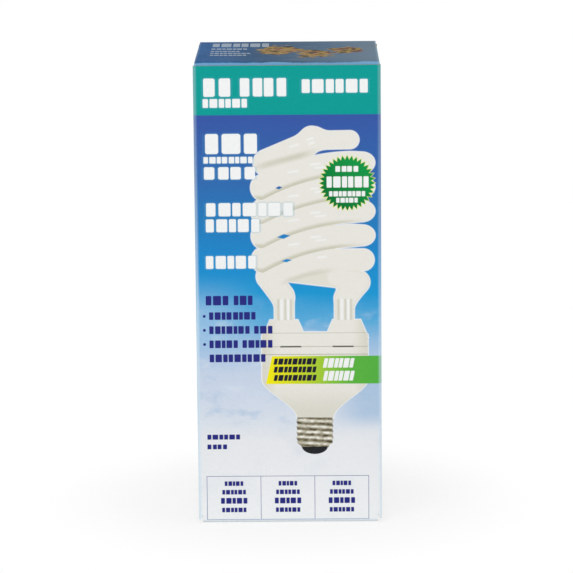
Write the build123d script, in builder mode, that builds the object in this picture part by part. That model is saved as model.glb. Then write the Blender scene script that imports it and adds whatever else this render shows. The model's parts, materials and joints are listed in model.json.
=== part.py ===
# A tall tuck-top carton of thin fluted card, with the spiral lamp that it holds.
# Millimetres, +Z up, origin at the middle of the carton's underside, front panel towards -Y.
import os
from math import atan2, cos, degrees, hypot, pi, radians, sin, tan

from build123d import *

os.makedirs("parts", exist_ok=True)

# Lamp, glass spiral
lamp_diameter = 91.0
lamp_height = 241.0
tube_diameter = 15.5
turn_gap = 1.9  # between one pass of the tube and the next
leg_offset = 21.9  # from the lamp's axis to each straight leg
elbow_radius = 12.0  # where a leg turns into the spiral
elbow_rise = 23.0  # from the tops of the collars to the spiral's first pass
closing_turn = 150.0  # degrees over which each arm runs in to the top of the lamp
spans_per_turn = 14
tube_flats = 16  # round the glass, to keep the facets of so long a tube few

# Lamp, ballast case and its cover: heights are above the lamp's foot
case_diameter = 77.0
case_wall = 2.0
neck_top = 26.3
bowl_top = 51.4
seam_level = 72.5
deck_level = 88.5
deck_edge = 2.0
collar_height = 9.5
collar_foot_diameter = 30.6
collar_wall = 1.9
vent_length = 18.0
vent_height = 3.0
vent_count = 6
vent_level = 78.5
rim_depth = 4.5  # how far the cover's rim reaches down inside the case
rim_wall = 1.2
slip = 0.15  # between moulded parts that fit together
glass_gap = 0.2  # between the glass and the collar round it
tube_seat = 3.0  # how far each leg reaches below the cover's deck

# Lamp, screw base
cap_diameter = 26.3
cap_skin = 0.4
cap_foot = 6.0
cap_lip = 1.6
thread_pitch = 3.63
thread_depth = 1.1
thread_turns = 4
neck_grip = 9.0  # how far the case's neck reaches down into the metal cap
neck_wall = 1.8
shoulder_lap = 0.3
contact_diameter = 10.0
contact_thickness = 0.9
rivet_diameter = 4.0
rivet_head = 0.5
insulator_foot_diameter = 12.4
insulator_rim = 1.2

# Lamp, circuit board and what it carries: places are X and Y from the lamp's axis
board_level = 62.0
board_thickness = 1.6
board_gap = 0.3
ledge_width = 2.6
ledge_height = 2.0
lead_diameter = 0.8
lead_hole_gap = 0.1
lead_bend = 2.0
filament_spread = 6.0
core_width = 24.0
core_depth = 12.0
core_height = 20.0
core_leg = 4.0
core_middle_leg = 6.0
core_place = (-14.0, 2.0)
coil_wall = 4.0
bulk_diameter = 16.0
bulk_length = 25.0
bulk_edge = 1.0
bulk_place = (11.0, -11.0)
film_width = 13.0
film_depth = 6.0
film_height = 11.0
film_corner = 1.2
film_across = 9.0
film_inset = 14.7  # from the board's back edge to the nearer of the two
film_spacing = 8.5
transistor_width = 10.2
transistor_depth = 4.4
transistor_height = 9.2
tab_thickness = 1.3
tab_length = 6.0
tab_hole = 3.6
transistor_places = ((24.5, 2.0), (24.5, 10.0))
toroid_diameter = 12.0
toroid_hole = 6.0
toroid_height = 5.0
toroid_edge = 1.0
toroid_place = (-18.0, -17.0)
fuse_diameter = 4.5
fuse_length = 12.0
fuse_across = -4.0
fuse_inset = 12.2  # from the board's front edge
live_place = (0.0, 0.0)
neutral_place = (0.0, 6.0)
neutral_level = 12.0

# Carton
card = 1.5
fold_radius = 2.0  # outside of every fold
side_clearance = 3.0
headroom = 5.1
flap_gap = 0.3  # between the lid and the dust flaps under it
dust_flap = 38.0
dust_flap_taper = 12.0  # degrees, on the edge next to the tuck
bottom_flap = 32.0
outer_flap_setback = 1.0
inner_flap_setback = 1.2
glue_flap = 16.0
glue_flap_bevel = 8.0
glue_flap_setback = 3.0
glue_bite = 0.05  # how far the glued flap beds into the back panel
tuck = 15.0
tuck_gap = 0.3  # between the tuck and the front panel's inside
tuck_side_gap = 1.0
tuck_corner = 9.0
tuck_room = 0.9  # between the tuck's inside and the dust flaps' front edges
lid_side_gap = 0.8
corner_slit = 0.4  # from the outer bottom flap up to the ends of the upright folds
front_edge_drop = 0.2
hinge_gap = 0.2

# Sizes that follow from those above
foot = 2 * card  # the lamp stands on the inner bottom flap, which lies on the outer one
width = max(lamp_diameter, case_diameter) + 2 * (side_clearance + card)
depth = width
height = foot + lamp_height + headroom + card + flap_gap + card
half_width = width / 2
half_depth = depth / 2
fold_x = half_width - fold_radius
fold_y = half_depth - fold_radius
inner_y = half_depth - card
lid_under = height - card
flap_top = lid_under - flap_gap

cap_radius = cap_diameter / 2
thread_root = cap_radius - thread_depth
cap_inside = thread_root - cap_skin
neck_radius = cap_inside - slip
neck_foot = neck_top - neck_grip
neck_bore = neck_radius - neck_wall
shoulder = cap_radius + shoulder_lap
case_radius = case_diameter / 2
case_inside = case_radius - case_wall
tube_radius = tube_diameter / 2
tube_foot = deck_level - case_wall - tube_seat

# Sketches on this plane read as radius across and height above the lamp's foot
lamp_section = Plane(origin=(0, 0, foot), x_dir=(1, 0, 0), z_dir=(0, -1, 0))


def level(height_above_foot):
    """A flat plane at a height above the lamp's foot."""
    return Plane.XY.offset(foot + height_above_foot)


# Glass tube: two arms of one path, each a leg, an elbow, a spiral and the run in to the top
spiral_radius = (lamp_diameter - tube_diameter) / 2
spiral_low = deck_level + collar_height + elbow_rise
spiral_top = lamp_height - tube_radius
climb = 2 * (tube_diameter + turn_gap) / (2 * pi)  # rise of one arm for each radian
elbow_end = hypot(leg_offset, elbow_radius)
elbow_angle = atan2(elbow_radius, leg_offset)
opening_angle = 2 * (spiral_radius - elbow_end) / (elbow_end * tan(elbow_angle))
closing_angle = radians(closing_turn)
opening_rise = climb * opening_angle / 2
closing_rise = climb * closing_angle / 2
even_angle = (spiral_top - spiral_low - opening_rise - closing_rise) / climb


def spiral_point(angle):
    """A point of the tube's centre line, at an angle past the elbow."""
    if angle < opening_angle:
        share = angle / opening_angle
        radius = spiral_radius - (spiral_radius - elbow_end) * (1 - share) ** 2
        rise = opening_rise * share**2
    elif angle < opening_angle + even_angle:
        radius = spiral_radius
        rise = opening_rise + climb * (angle - opening_angle)
    else:
        share = (angle - opening_angle - even_angle) / closing_angle
        radius = spiral_radius * cos(share * pi / 2)
        rise = opening_rise + climb * even_angle + closing_rise * (1 - (1 - share) ** 2)
    turned = elbow_angle + angle
    return (radius * cos(turned), radius * sin(turned), foot + spiral_low + rise)


elbow_steps = 4
whole_angle = opening_angle + even_angle + closing_angle
spans = round(whole_angle / (2 * pi) * spans_per_turn)
arm = [(leg_offset, 0, foot + tube_foot)]
for step in range(elbow_steps + 1):
    bend = step * pi / 2 / elbow_steps
    arm.append(
        (
            leg_offset,
            elbow_radius * (1 - cos(bend)),
            foot + spiral_low - elbow_radius * (1 - sin(bend)),
        )
    )
arm += [spiral_point(whole_angle * step / spans) for step in range(1, spans)]
other_arm = [(-x, -y, z) for x, y, z in reversed(arm)]

with BuildPart() as lamp_tube:
    with BuildLine() as centre_line:
        Polyline(*arm, (0, 0, foot + spiral_top), *other_arm)
    with BuildSketch(Plane(origin=arm[0])):
        RegularPolygon(tube_radius, tube_flats)
    sweep(path=centre_line.line, transition=Transition.RIGHT)

lamp_tube.part.label = "lamp_tube"
export_step(lamp_tube.part, "parts/lamp_tube.step")

# Ballast case: a bowl on a neck that grips the metal cap, with a ledge for the circuit board
ledge_inside = case_inside - ledge_width
with BuildPart() as ballast_case:
    with BuildSketch(lamp_section):
        with BuildLine():
            Polyline(
                (neck_bore, neck_foot),
                (neck_radius, neck_foot),
                (neck_radius, neck_top),
                (shoulder, neck_top),
            )
            EllipticalCenterArc(
                (shoulder, bowl_top),
                case_radius - shoulder,
                bowl_top - neck_top,
                start_angle=270,
                arc_size=90,
            )
            Polyline(
                (case_radius, bowl_top),
                (case_radius, seam_level),
                (case_inside, seam_level),
                (case_inside, board_level),
                (ledge_inside, board_level),
                (ledge_inside, board_level - ledge_height),
                (case_inside, board_level - ledge_height - ledge_width),
                (case_inside, bowl_top),
            )
            EllipticalCenterArc(
                (shoulder, bowl_top),
                case_inside - shoulder,
                bowl_top - neck_top - case_wall,
                start_angle=270,
                arc_size=90,
            )
            Polyline(
                (shoulder, neck_top + case_wall),
                (neck_bore, neck_top + case_wall),
                (neck_bore, neck_foot),
            )
        make_face()
    revolve(axis=Axis.Z)

ballast_case.part.label = "ballast_case"
export_step(ballast_case.part, "parts/ballast_case.step")

# Ballast cover: a shallow cap with a rim inside the case, vents, and a collar for each leg
rim_outside = case_inside - slip
rim_inside = rim_outside - rim_wall
collar_top_radius = tube_radius + glass_gap + collar_wall
with BuildPart() as ballast_cover:
    with BuildSketch(lamp_section) as cover_profile:
        with BuildLine():
            Polyline(
                (0, deck_level),
                (case_radius, deck_level),
                (case_radius, seam_level),
                (rim_outside, seam_level),
                (rim_outside, seam_level - rim_depth),
                (rim_inside, seam_level - rim_depth),
                (rim_inside, seam_level + case_wall),
                (case_inside, seam_level + case_wall),
                (case_inside, deck_level - case_wall),
                (0, deck_level - case_wall),
                close=True,
            )
        make_face()
        outer_corner = cover_profile.vertices().sort_by(lambda corner: corner.X + corner.Y)[-1]
        chamfer(outer_corner, deck_edge)
    revolve(axis=Axis.Z)
    with Locations(level(deck_level - case_wall / 2)):
        with Locations((leg_offset, 0), (-leg_offset, 0)):
            Cone(
                collar_foot_diameter / 2,
                collar_top_radius,
                collar_height + case_wall / 2,
                align=(Align.CENTER, Align.CENTER, Align.MIN),
            )
    with BuildSketch(level(deck_level - case_wall)):
        with Locations((leg_offset, 0), (-leg_offset, 0)):
            Circle(tube_radius + glass_gap)
    extrude(amount=case_wall + collar_height, mode=Mode.SUBTRACT)
    for vent in range(vent_count):
        facing = 2 * pi * (vent + 0.5) / vent_count
        outward = Plane(
            origin=(0, 0, foot + vent_level),
            x_dir=(-sin(facing), cos(facing), 0),
            z_dir=(cos(facing), sin(facing), 0),
        )
        with BuildSketch(outward.offset(case_inside - 2 * case_wall)):
            Rectangle(vent_length, vent_height)
        extrude(amount=4 * case_wall, mode=Mode.SUBTRACT)

ballast_cover.part.label = "ballast_cover"
export_step(ballast_cover.part, "parts/ballast_cover.step")

# Screw cap: a formed metal shell, its thread as rings, with a lip that holds the insulator
thread_start = cap_foot + cap_lip
crests = [
    (radius, thread_start + thread_pitch * (turn + part_of_turn))
    for turn in range(thread_turns)
    for part_of_turn, radius in ((0, thread_root), (0.5, cap_radius))
]
crests.append((thread_root, thread_start + thread_pitch * thread_turns))
with BuildPart() as screw_cap:
    with BuildSketch(lamp_section):
        with BuildLine():
            Polyline(
                (thread_root - cap_lip, cap_foot),
                (thread_root, cap_foot),
                *crests,
                (thread_root, neck_top),
                (cap_inside, neck_top),
                (cap_inside, cap_foot + cap_skin),
                (thread_root - cap_lip, cap_foot + cap_skin),
                close=True,
            )
        make_face()
    revolve(axis=Axis.Z)

screw_cap.part.label = "screw_cap"
export_step(screw_cap.part, "parts/screw_cap.step")

# Insulator: the black cone under the cap, with a rim that lies on the cap's lip
insulator_waist = thread_root - cap_lip - slip
rim_level = cap_foot + cap_skin + slip
insulator_top = rim_level + insulator_rim
with BuildPart() as insulator:
    with BuildSketch(lamp_section):
        with BuildLine():
            Polyline(
                (rivet_diameter / 2 + slip, contact_thickness),
                (insulator_foot_diameter / 2, contact_thickness),
                (insulator_waist, cap_foot),
                (insulator_waist, rim_level),
                (cap_inside - slip, rim_level),
                (cap_inside - slip, insulator_top),
                (rivet_diameter / 2 + slip, insulator_top),
                close=True,
            )
        make_face()
    revolve(axis=Axis.Z)

insulator.part.label = "insulator"
export_step(insulator.part, "parts/insulator.step")

# Centre contact: a flat button with its hollow rivet
rivet_top = insulator_top + rivet_head
with BuildPart() as centre_contact:
    with BuildSketch(level(0)):
        Circle(contact_diameter / 2)
    extrude(amount=contact_thickness)
    chamfer(centre_contact.edges().sort_by(Axis.Z)[0], contact_thickness / 3)
    with BuildSketch(level(contact_thickness)):
        Circle(rivet_diameter / 2)
    extrude(amount=rivet_top - contact_thickness)

centre_contact.part.label = "centre_contact"
export_step(centre_contact.part, "parts/centre_contact.step")

# Circuit board: a disc on the ledge, drilled for the leads
board_radius = case_inside - board_gap
board_top = board_level + board_thickness
filament_places = [
    (side * (leg_offset + offset_from_leg), 0)
    for side in (-1, 1)
    for offset_from_leg in (-filament_spread / 2, filament_spread / 2)
]
with BuildPart() as circuit_board:
    with BuildSketch(level(board_level)):
        Circle(board_radius)
        with Locations(*filament_places, live_place, neutral_place):
            Circle(lead_diameter / 2 + lead_hole_gap, mode=Mode.SUBTRACT)
    extrude(amount=board_thickness)

circuit_board.part.label = "circuit_board"
export_step(circuit_board.part, "parts/circuit_board.step")

# Choke: a ferrite frame with a middle leg, and the coil on that leg
window_width = (core_width - core_middle_leg) / 2 - core_leg
window_centre = (core_middle_leg + window_width) / 2
with BuildPart() as choke_core:
    core_face = Plane(
        origin=(core_place[0], core_place[1] + core_depth / 2, foot + board_level - core_height / 2),
        x_dir=(1, 0, 0),
        z_dir=(0, -1, 0),
    )
    with BuildSketch(core_face):
        Rectangle(core_width, core_height)
        with Locations((-window_centre, 0), (window_centre, 0)):
            Rectangle(window_width, core_height - 2 * core_leg, mode=Mode.SUBTRACT)
    extrude(amount=core_depth)

choke_core.part.label = "choke_core"
export_step(choke_core.part, "parts/choke_core.step")

coil_length = core_height - 2 * core_leg - 2 * slip
with BuildPart() as choke_coil:
    with BuildSketch(level(board_level - core_height + core_leg + slip)):
        with Locations(core_place):
            RectangleRounded(
                core_middle_leg + 2 * (slip + coil_wall),
                core_depth + 2 * (slip + coil_wall),
                coil_wall - slip,
            )
            Rectangle(core_middle_leg + 2 * slip, core_depth + 2 * slip, mode=Mode.SUBTRACT)
    extrude(amount=coil_length)

choke_coil.part.label = "choke_coil"
export_step(choke_coil.part, "parts/choke_coil.step")

# Bulk capacitor: a can that hangs from the board
with BuildPart() as bulk_capacitor:
    with BuildSketch(level(board_level)):
        with Locations(bulk_place):
            Circle(bulk_diameter / 2)
    extrude(amount=-bulk_length)
    chamfer(bulk_capacitor.edges().sort_by(Axis.Z)[0], bulk_edge)

bulk_capacitor.part.label = "bulk_capacitor"
export_step(bulk_capacitor.part, "parts/bulk_capacitor.step")

# Film capacitors: two moulded blocks
film_back = board_radius - film_inset
film_places = ((film_across, film_back - film_spacing), (film_across, film_back))
with BuildPart() as film_capacitors:
    with BuildSketch(level(board_level)):
        with Locations(*film_places):
            RectangleRounded(film_width, film_depth, film_corner)
    extrude(amount=-film_height)

film_capacitors.part.label = "film_capacitors"
export_step(film_capacitors.part, "parts/film_capacitors.step")

# Transistors: a body under the board, and a drilled metal tab below it
with BuildPart() as transistors:
    for place_x, place_y in transistor_places:
        back = place_y + transistor_depth / 2
        upright = Plane(
            origin=(place_x, back, foot + board_level), x_dir=(1, 0, 0), z_dir=(0, -1, 0)
        )
        with BuildSketch(upright):
            Rectangle(transistor_width, transistor_height, align=(Align.CENTER, Align.MAX))
        extrude(amount=transistor_depth)
        with BuildSketch(upright):
            with Locations((0, -transistor_height)):
                Rectangle(transistor_width, tab_length, align=(Align.CENTER, Align.MAX))
            with Locations((0, -transistor_height - tab_length / 2)):
                Circle(tab_hole / 2, mode=Mode.SUBTRACT)
        extrude(amount=tab_thickness)

transistors.part.label = "transistors"
export_step(transistors.part, "parts/transistors.step")

# Feedback transformer: a small ring core
with BuildPart() as toroid:
    with BuildSketch(level(board_level)):
        with Locations(toroid_place):
            Circle(toroid_diameter / 2)
            Circle(toroid_hole / 2, mode=Mode.SUBTRACT)
    extrude(amount=-toroid_height)
    chamfer(toroid.edges().group_by(Axis.Z)[0], toroid_edge)

toroid.part.label = "toroid"
export_step(toroid.part, "parts/toroid.step")

# Fuse resistor: a small cylinder that lies against the board
with BuildPart() as fuse:
    fuse_end = Plane(
        origin=(
            fuse_across - fuse_length / 2,
            fuse_inset - board_radius,
            foot + board_level - fuse_diameter / 2 - slip,
        ),
        z_dir=(1, 0, 0),
    )
    with BuildSketch(fuse_end):
        Circle(fuse_diameter / 2)
    extrude(amount=fuse_length)

fuse.part.label = "fuse"
export_step(fuse.part, "parts/fuse.step")

# Leads: four up to the filaments, one down to the contact, one across to the cap
with BuildPart() as filament_leads:
    with BuildSketch(level(board_level)):
        with Locations(*filament_places):
            Circle(lead_diameter / 2)
    extrude(amount=tube_foot - board_level)

filament_leads.part.label = "filament_leads"
export_step(filament_leads.part, "parts/filament_leads.step")

with BuildPart() as live_lead:
    with BuildSketch(level(rivet_top)):
        with Locations(live_place):
            Circle(lead_diameter / 2)
    extrude(amount=board_top - rivet_top)

live_lead.part.label = "live_lead"
export_step(live_lead.part, "parts/live_lead.step")

neutral_x, neutral_y = neutral_place
with BuildPart() as neutral_lead:
    with BuildLine() as neutral_path:
        Polyline(
            (neutral_x, neutral_y, foot + board_top),
            (neutral_x, neutral_y, foot + neutral_level + lead_bend),
            (neutral_x, neutral_y + lead_bend, foot + neutral_level),
            (neutral_x, cap_inside - slip, foot + neutral_level),
        )
    with BuildSketch(level(board_top)):
        with Locations(neutral_place):
            Circle(lead_diameter / 2)
    sweep(path=neutral_path.line, transition=Transition.RIGHT)

neutral_lead.part.label = "neutral_lead"
export_step(neutral_lead.part, "parts/neutral_lead.step")


def folded_strip(plane, outside, strip_width):
    """Adds a strip of card with a round fold at each corner to the part being built.

    The points run along its outside face, with the inside of the box on their left.
    """
    with BuildSketch(plane) as profile:
        with BuildLine():
            FilletPolyline(*outside, radius=fold_radius)
            offset(amount=card, side=Side.LEFT)
        make_face()
    extrude(profile.sketch, amount=strip_width)


# Carton: one sheet, folded to a tube, with its bottom flaps and its dust flaps
mitre = Plane(origin=(0, half_depth, height), z_dir=(0, -1, 1))
land = 3 * fold_radius
joint_y = fold_y - card + glue_bite
corner_foot = card + corner_slit
with BuildPart() as carton:
    # Back panel, from the inner bottom flap to its half of the lid's fold
    folded_strip(
        Plane.YZ.offset(-fold_x),
        [
            (inner_flap_setback - inner_y, card),
            (half_depth, card),
            (half_depth, height),
            (half_depth - land, height),
        ],
        2 * fold_x,
    )
    split(bisect_by=mitre.offset(-hinge_gap / 2), keep=Keep.BOTTOM)

    # Front panel, with the outer bottom flap
    folded_strip(
        Plane.YZ.offset(-fold_x),
        [
            (-half_depth, lid_under - front_edge_drop),
            (-half_depth, 0),
            (half_depth - outer_flap_setback, 0),
        ],
        2 * fold_x,
    )

    # Side panels, each with a dust flap at both ends
    folded_strip(
        Plane.XZ.offset(-fold_y),
        [
            (half_width - bottom_flap, foot),
            (half_width, foot),
            (half_width, flap_top),
            (half_width - dust_flap, flap_top),
        ],
        2 * fold_y,
    )
    folded_strip(
        Plane.XZ.offset(-joint_y),
        [
            (dust_flap - half_width, flap_top),
            (-half_width, flap_top),
            (-half_width, foot),
            (bottom_flap - half_width, foot),
        ],
        fold_y + joint_y,
    )

    # Upright folds at three corners, and the back panel's raw edge at the glued joint
    with BuildSketch(Plane.XY.offset(corner_foot)):
        RectangleRounded(width, depth, fold_radius)
        RectangleRounded(
            width - 2 * card, depth - 2 * card, fold_radius - card, mode=Mode.SUBTRACT
        )
        Rectangle(2 * fold_x, depth, mode=Mode.SUBTRACT)
        Rectangle(width, 2 * fold_y, mode=Mode.SUBTRACT)
        with Locations((-half_width, half_depth)):
            Rectangle(2 * fold_radius, 2 * fold_radius, mode=Mode.SUBTRACT)
            Rectangle(fold_radius, card, align=(Align.MIN, Align.MAX))
    extrude(amount=flap_top - corner_foot)

    # Glued joint: the side panel folds on into a flap behind the back panel
    with BuildSketch(Plane.XY.offset(corner_foot)):
        with Locations((-fold_x, joint_y)):
            Circle(fold_radius)
            Circle(fold_radius - card, mode=Mode.SUBTRACT)
            Rectangle(
                fold_radius, fold_radius, align=(Align.MAX, Align.MIN), mode=Mode.INTERSECT
            )
    extrude(amount=flap_top - corner_foot)
    glue_flap_low = foot + card + glue_flap_setback
    glue_flap_high = flap_top - card - glue_flap_setback
    with BuildSketch(Plane.XZ.offset(-inner_y - glue_bite)):
        with BuildLine():
            Polyline(
                (-fold_x, glue_flap_low),
                (glue_flap - fold_x, glue_flap_low + glue_flap_bevel),
                (glue_flap - fold_x, glue_flap_high - glue_flap_bevel),
                (-fold_x, glue_flap_high),
                close=True,
            )
        make_face()
    extrude(amount=card)

    # Room for the tuck in front of the dust flaps, and their sloping front edges
    flap_front = card + tuck_gap + tuck_room - inner_y
    flap_slope = (dust_flap - fold_radius) * tan(radians(dust_flap_taper))
    with BuildSketch(Plane.XY.offset(flap_top - fold_radius)):
        for side in (-1, 1):
            with BuildLine():
                Polyline(
                    (0, -inner_y),
                    (side * fold_x, -inner_y),
                    (side * fold_x, flap_front),
                    (side * (half_width - dust_flap), flap_front + flap_slope),
                    (0, flap_front + flap_slope),
                    close=True,
                )
            make_face()
    extrude(amount=fold_radius, mode=Mode.SUBTRACT)

carton.part.label = "carton"
export_step(carton.part, "parts/carton.step")

# Lid: the top panel and its tuck, free to turn at the fold along the back panel's top
hinge_inset = fold_radius * (1 - cos(radians(45)))
hinge_y = half_depth - hinge_inset
lid_front = tuck_gap - inner_y
tuck_lean = tuck / (2 * (hinge_y - lid_front))  # radians, so that its tip clears the front panel
tuck_run = tuck + card
with BuildPart() as lid:
    folded_strip(
        Plane.YZ.offset(lid_side_gap - half_width),
        [
            (half_depth, height - land),
            (half_depth, height),
            (lid_front, height),
            (lid_front + tuck_run * sin(tuck_lean), height - tuck_run),
        ],
        width - 2 * lid_side_gap,
    )
    split(bisect_by=mitre.offset(hinge_gap / 2), keep=Keep.TOP)
    with BuildSketch(Plane.XZ.offset(-half_depth)) as front_outline:
        with Locations((0, height)):
            Rectangle(
                width - 2 * (card + tuck_side_gap), tuck, align=(Align.CENTER, Align.MAX)
            )
        fillet(front_outline.vertices().sort_by(Axis.Y)[:2], tuck_corner)
        with Locations((0, lid_under)):
            Rectangle(width, 2 * card, align=(Align.CENTER, Align.MIN))
    extrude(amount=depth, mode=Mode.INTERSECT)

lid.part.label = "lid"
export_step(lid.part, "parts/lid.step")
print("Carton", width, "x", depth, "x", height, "mm, hinge at", hinge_y, height - hinge_inset)
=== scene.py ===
# %% [markdown]
# # A printed carton and the spiral lamp in it
# The real thing is a tall square carton folded from one sheet of thin fluted card. Its lid is
# hinged at the back and closed by a tuck, and a spiral lamp stands inside on its screw base.
# The solid model comes in first as a fixed frame, and every surface below is fitted to it.

# %% Load the solid model
import json
from functools import reduce
from math import atan2, cos, hypot, pi, radians, sin, tan

import bmesh
import bpy
import numpy as np
from mathutils import Matrix, Vector

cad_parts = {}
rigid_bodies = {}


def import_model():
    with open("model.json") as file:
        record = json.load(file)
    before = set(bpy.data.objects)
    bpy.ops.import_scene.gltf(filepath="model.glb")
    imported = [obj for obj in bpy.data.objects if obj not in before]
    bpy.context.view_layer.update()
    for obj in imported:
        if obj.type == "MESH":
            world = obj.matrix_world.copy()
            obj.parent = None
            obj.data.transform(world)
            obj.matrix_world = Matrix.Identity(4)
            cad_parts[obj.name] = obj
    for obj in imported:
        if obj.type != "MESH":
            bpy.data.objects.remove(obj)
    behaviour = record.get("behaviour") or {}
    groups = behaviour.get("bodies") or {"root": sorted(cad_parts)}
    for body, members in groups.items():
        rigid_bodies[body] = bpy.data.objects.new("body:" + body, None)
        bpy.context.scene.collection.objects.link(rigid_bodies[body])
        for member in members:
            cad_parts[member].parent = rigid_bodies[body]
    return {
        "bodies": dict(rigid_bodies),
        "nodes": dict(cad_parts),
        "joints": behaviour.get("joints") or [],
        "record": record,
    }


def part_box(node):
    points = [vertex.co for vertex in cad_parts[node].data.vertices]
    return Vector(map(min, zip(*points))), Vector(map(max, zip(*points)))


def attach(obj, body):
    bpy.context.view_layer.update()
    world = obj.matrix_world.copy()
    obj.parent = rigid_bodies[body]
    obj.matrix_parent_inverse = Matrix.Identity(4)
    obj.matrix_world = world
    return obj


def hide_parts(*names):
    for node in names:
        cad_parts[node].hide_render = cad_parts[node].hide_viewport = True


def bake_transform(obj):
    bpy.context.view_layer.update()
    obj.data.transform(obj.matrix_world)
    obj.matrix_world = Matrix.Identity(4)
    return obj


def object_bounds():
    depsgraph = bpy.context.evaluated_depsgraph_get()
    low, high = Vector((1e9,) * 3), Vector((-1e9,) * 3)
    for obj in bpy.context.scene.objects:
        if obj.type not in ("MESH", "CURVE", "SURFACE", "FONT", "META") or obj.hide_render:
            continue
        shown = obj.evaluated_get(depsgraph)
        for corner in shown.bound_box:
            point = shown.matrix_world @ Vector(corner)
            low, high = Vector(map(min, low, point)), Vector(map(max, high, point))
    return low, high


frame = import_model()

solid_box = [list(corner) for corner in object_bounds()]
mm = 0.001
scene = bpy.context.scene
scene.view_settings.view_transform = "Standard"
print("Solid model, corners in metres:", solid_box)

# %% [markdown]
# ## The view
# A tall carton photographed for a shop page is taken from far away with a long lens, so that
# its upright edges stay nearly parallel. The camera could be placed by eye, but the carton's
# six visible corners fix it: distance, lens and the three angles were fitted to them.

# %% Camera
camera_distance = 1.743  # metres, from the point that it looks at
camera_pitch = radians(10.88)
camera_yaw = radians(-0.49)
camera_roll = radians(-0.50)
aim = Vector((-0.0015, 0.0, 0.1215))
picture_side = 573
focal_pixels = 3143.0

forward = Vector((0, cos(camera_pitch), -sin(camera_pitch)))
level_right = Vector((1, 0, 0))
level_up = Vector((0, sin(camera_pitch), cos(camera_pitch)))
right = cos(camera_roll) * level_right + sin(camera_roll) * level_up
up = cos(camera_roll) * level_up - sin(camera_roll) * level_right
turn = Matrix.Rotation(-camera_yaw, 4, "Z")
placing = Matrix((right, up, -forward)).transposed().to_4x4()
placing.translation = aim - camera_distance * forward

camera_data = bpy.data.cameras.new("camera")
camera_data.sensor_width = 36.0
camera_data.lens = focal_pixels / picture_side * camera_data.sensor_width
camera = bpy.data.objects.new("camera", camera_data)
scene.collection.objects.link(camera)
camera.matrix_world = turn @ placing
scene.camera = camera
print("Camera at", [round(v, 3) for v in camera.matrix_world.translation])

# %% [markdown]
# ## Light and floor
# Shop photographs have a white ground and soft light from all round. One way is a closed tent
# of lamps; a white world is simpler and just as even. It is dimmer for the light that it sheds
# than for what the camera and mirrors see, so the ground is white and the print keeps its
# colours. Two large lamps add a little direction, and the floor keeps a soft shadow.

# %% World
ground_light = 0.64  # what the world sheds, where 1 is the white that the camera sees


def new_tree(owner):
    """The emptied node tree of a world or a material."""
    owner.use_nodes = True
    owner.node_tree.nodes.clear()
    return owner.node_tree


def add_node(tree, kind, inputs=None, **settings):
    """A node in a tree with its settings, and numbers, colours or sockets fed to its inputs."""
    made = tree.nodes.new(kind)
    for key, value in settings.items():
        setattr(made, key, value)
    for key, value in (inputs or {}).items():
        if isinstance(value, bpy.types.NodeSocket):
            tree.links.new(value, made.inputs[key])
        else:
            made.inputs[key].default_value = value
    return made


world = bpy.data.worlds.new("white_room")
scene.world = world
world_tree = new_tree(world)
rays = add_node(world_tree, "ShaderNodeLightPath").outputs
plain = rays["Is Camera Ray"]
for kind in ("Is Transmission Ray", "Is Glossy Ray"):
    both = {0: plain, 1: rays[kind]}
    plain = add_node(world_tree, "ShaderNodeMath", both, operation="MAXIMUM").outputs[0]
strength = add_node(world_tree, "ShaderNodeMapRange", {"Value": plain, "To Min": ground_light})
background = add_node(world_tree, "ShaderNodeBackground", {
    "Color": (1, 1, 1, 1), "Strength": strength.outputs[0]})
add_node(world_tree, "ShaderNodeOutputWorld", {"Surface": background.outputs[0]})
print("World light", ground_light)

# %% Lamps of the studio
carton_height = solid_box[1][2]
middle = Vector((0, 0, carton_height / 2))


def soft_lamp(name, place, side, watts):
    """A square lamp at a place in metres, turned to the middle of the carton."""
    data = bpy.data.lights.new(name, "AREA")
    data.size = side
    data.energy = watts
    lamp = bpy.data.objects.new(name, data)
    scene.collection.objects.link(lamp)
    lamp.location = place
    lamp.rotation_mode = "QUATERNION"
    lamp.rotation_quaternion = (middle - Vector(place)).to_track_quat("-Z", "Y")
    return lamp


soft_lamp("front_left_lamp", (-0.8, -1.2, 0.9), 0.9, 7.0)
soft_lamp("right_lamp", (1.2, -0.6, 0.5), 0.8, 3.0)

# %% Floor
floor_side = 12.0
floor_drop = 0.0002  # below the carton, so that the two faces don't flicker
plain_from = 0.05  # metres from the carton's middle, where the floor starts to turn plain white
plain_to = 0.15
plain_least = 0.72  # how plain the floor is at the carton's foot, where the shadow lies
floor_mesh = bpy.data.meshes.new("floor")
half = floor_side / 2
floor_mesh.from_pydata(
    [(-half, -half, -floor_drop), (half, -half, -floor_drop),
     (half, half, -floor_drop), (-half, half, -floor_drop)], [], [(0, 1, 2, 3)])
floor = bpy.data.objects.new("floor", floor_mesh)
scene.collection.objects.link(floor)

floor_paint = bpy.data.materials.new("floor_white")
floor_tree = new_tree(floor_paint)
floor_place = add_node(floor_tree, "ShaderNodeTexCoord").outputs["Object"]
away = add_node(floor_tree, "ShaderNodeVectorMath", {0: floor_place}, operation="LENGTH")
plainness = add_node(floor_tree, "ShaderNodeMapRange", {
    "Value": away.outputs["Value"], "From Min": plain_from, "From Max": plain_to,
    "To Min": plain_least}, interpolation_type="SMOOTHSTEP")
by_camera = add_node(floor_tree, "ShaderNodeLightPath").outputs["Is Camera Ray"]
seen = add_node(floor_tree, "ShaderNodeMath", {
    0: plainness.outputs["Result"], 1: by_camera}, operation="MULTIPLY")
matt = add_node(floor_tree, "ShaderNodeBsdfDiffuse", {"Color": (0.93, 0.93, 0.93, 1)})
glow = add_node(floor_tree, "ShaderNodeEmission")
mix = add_node(floor_tree, "ShaderNodeMixShader", {
    0: seen.outputs[0], 1: matt.outputs[0], 2: glow.outputs[0]})
add_node(floor_tree, "ShaderNodeOutputMaterial", {"Surface": mix.outputs[0]})
floor_mesh.materials.append(floor_paint)
print("Floor", floor_side, "m across")

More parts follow.
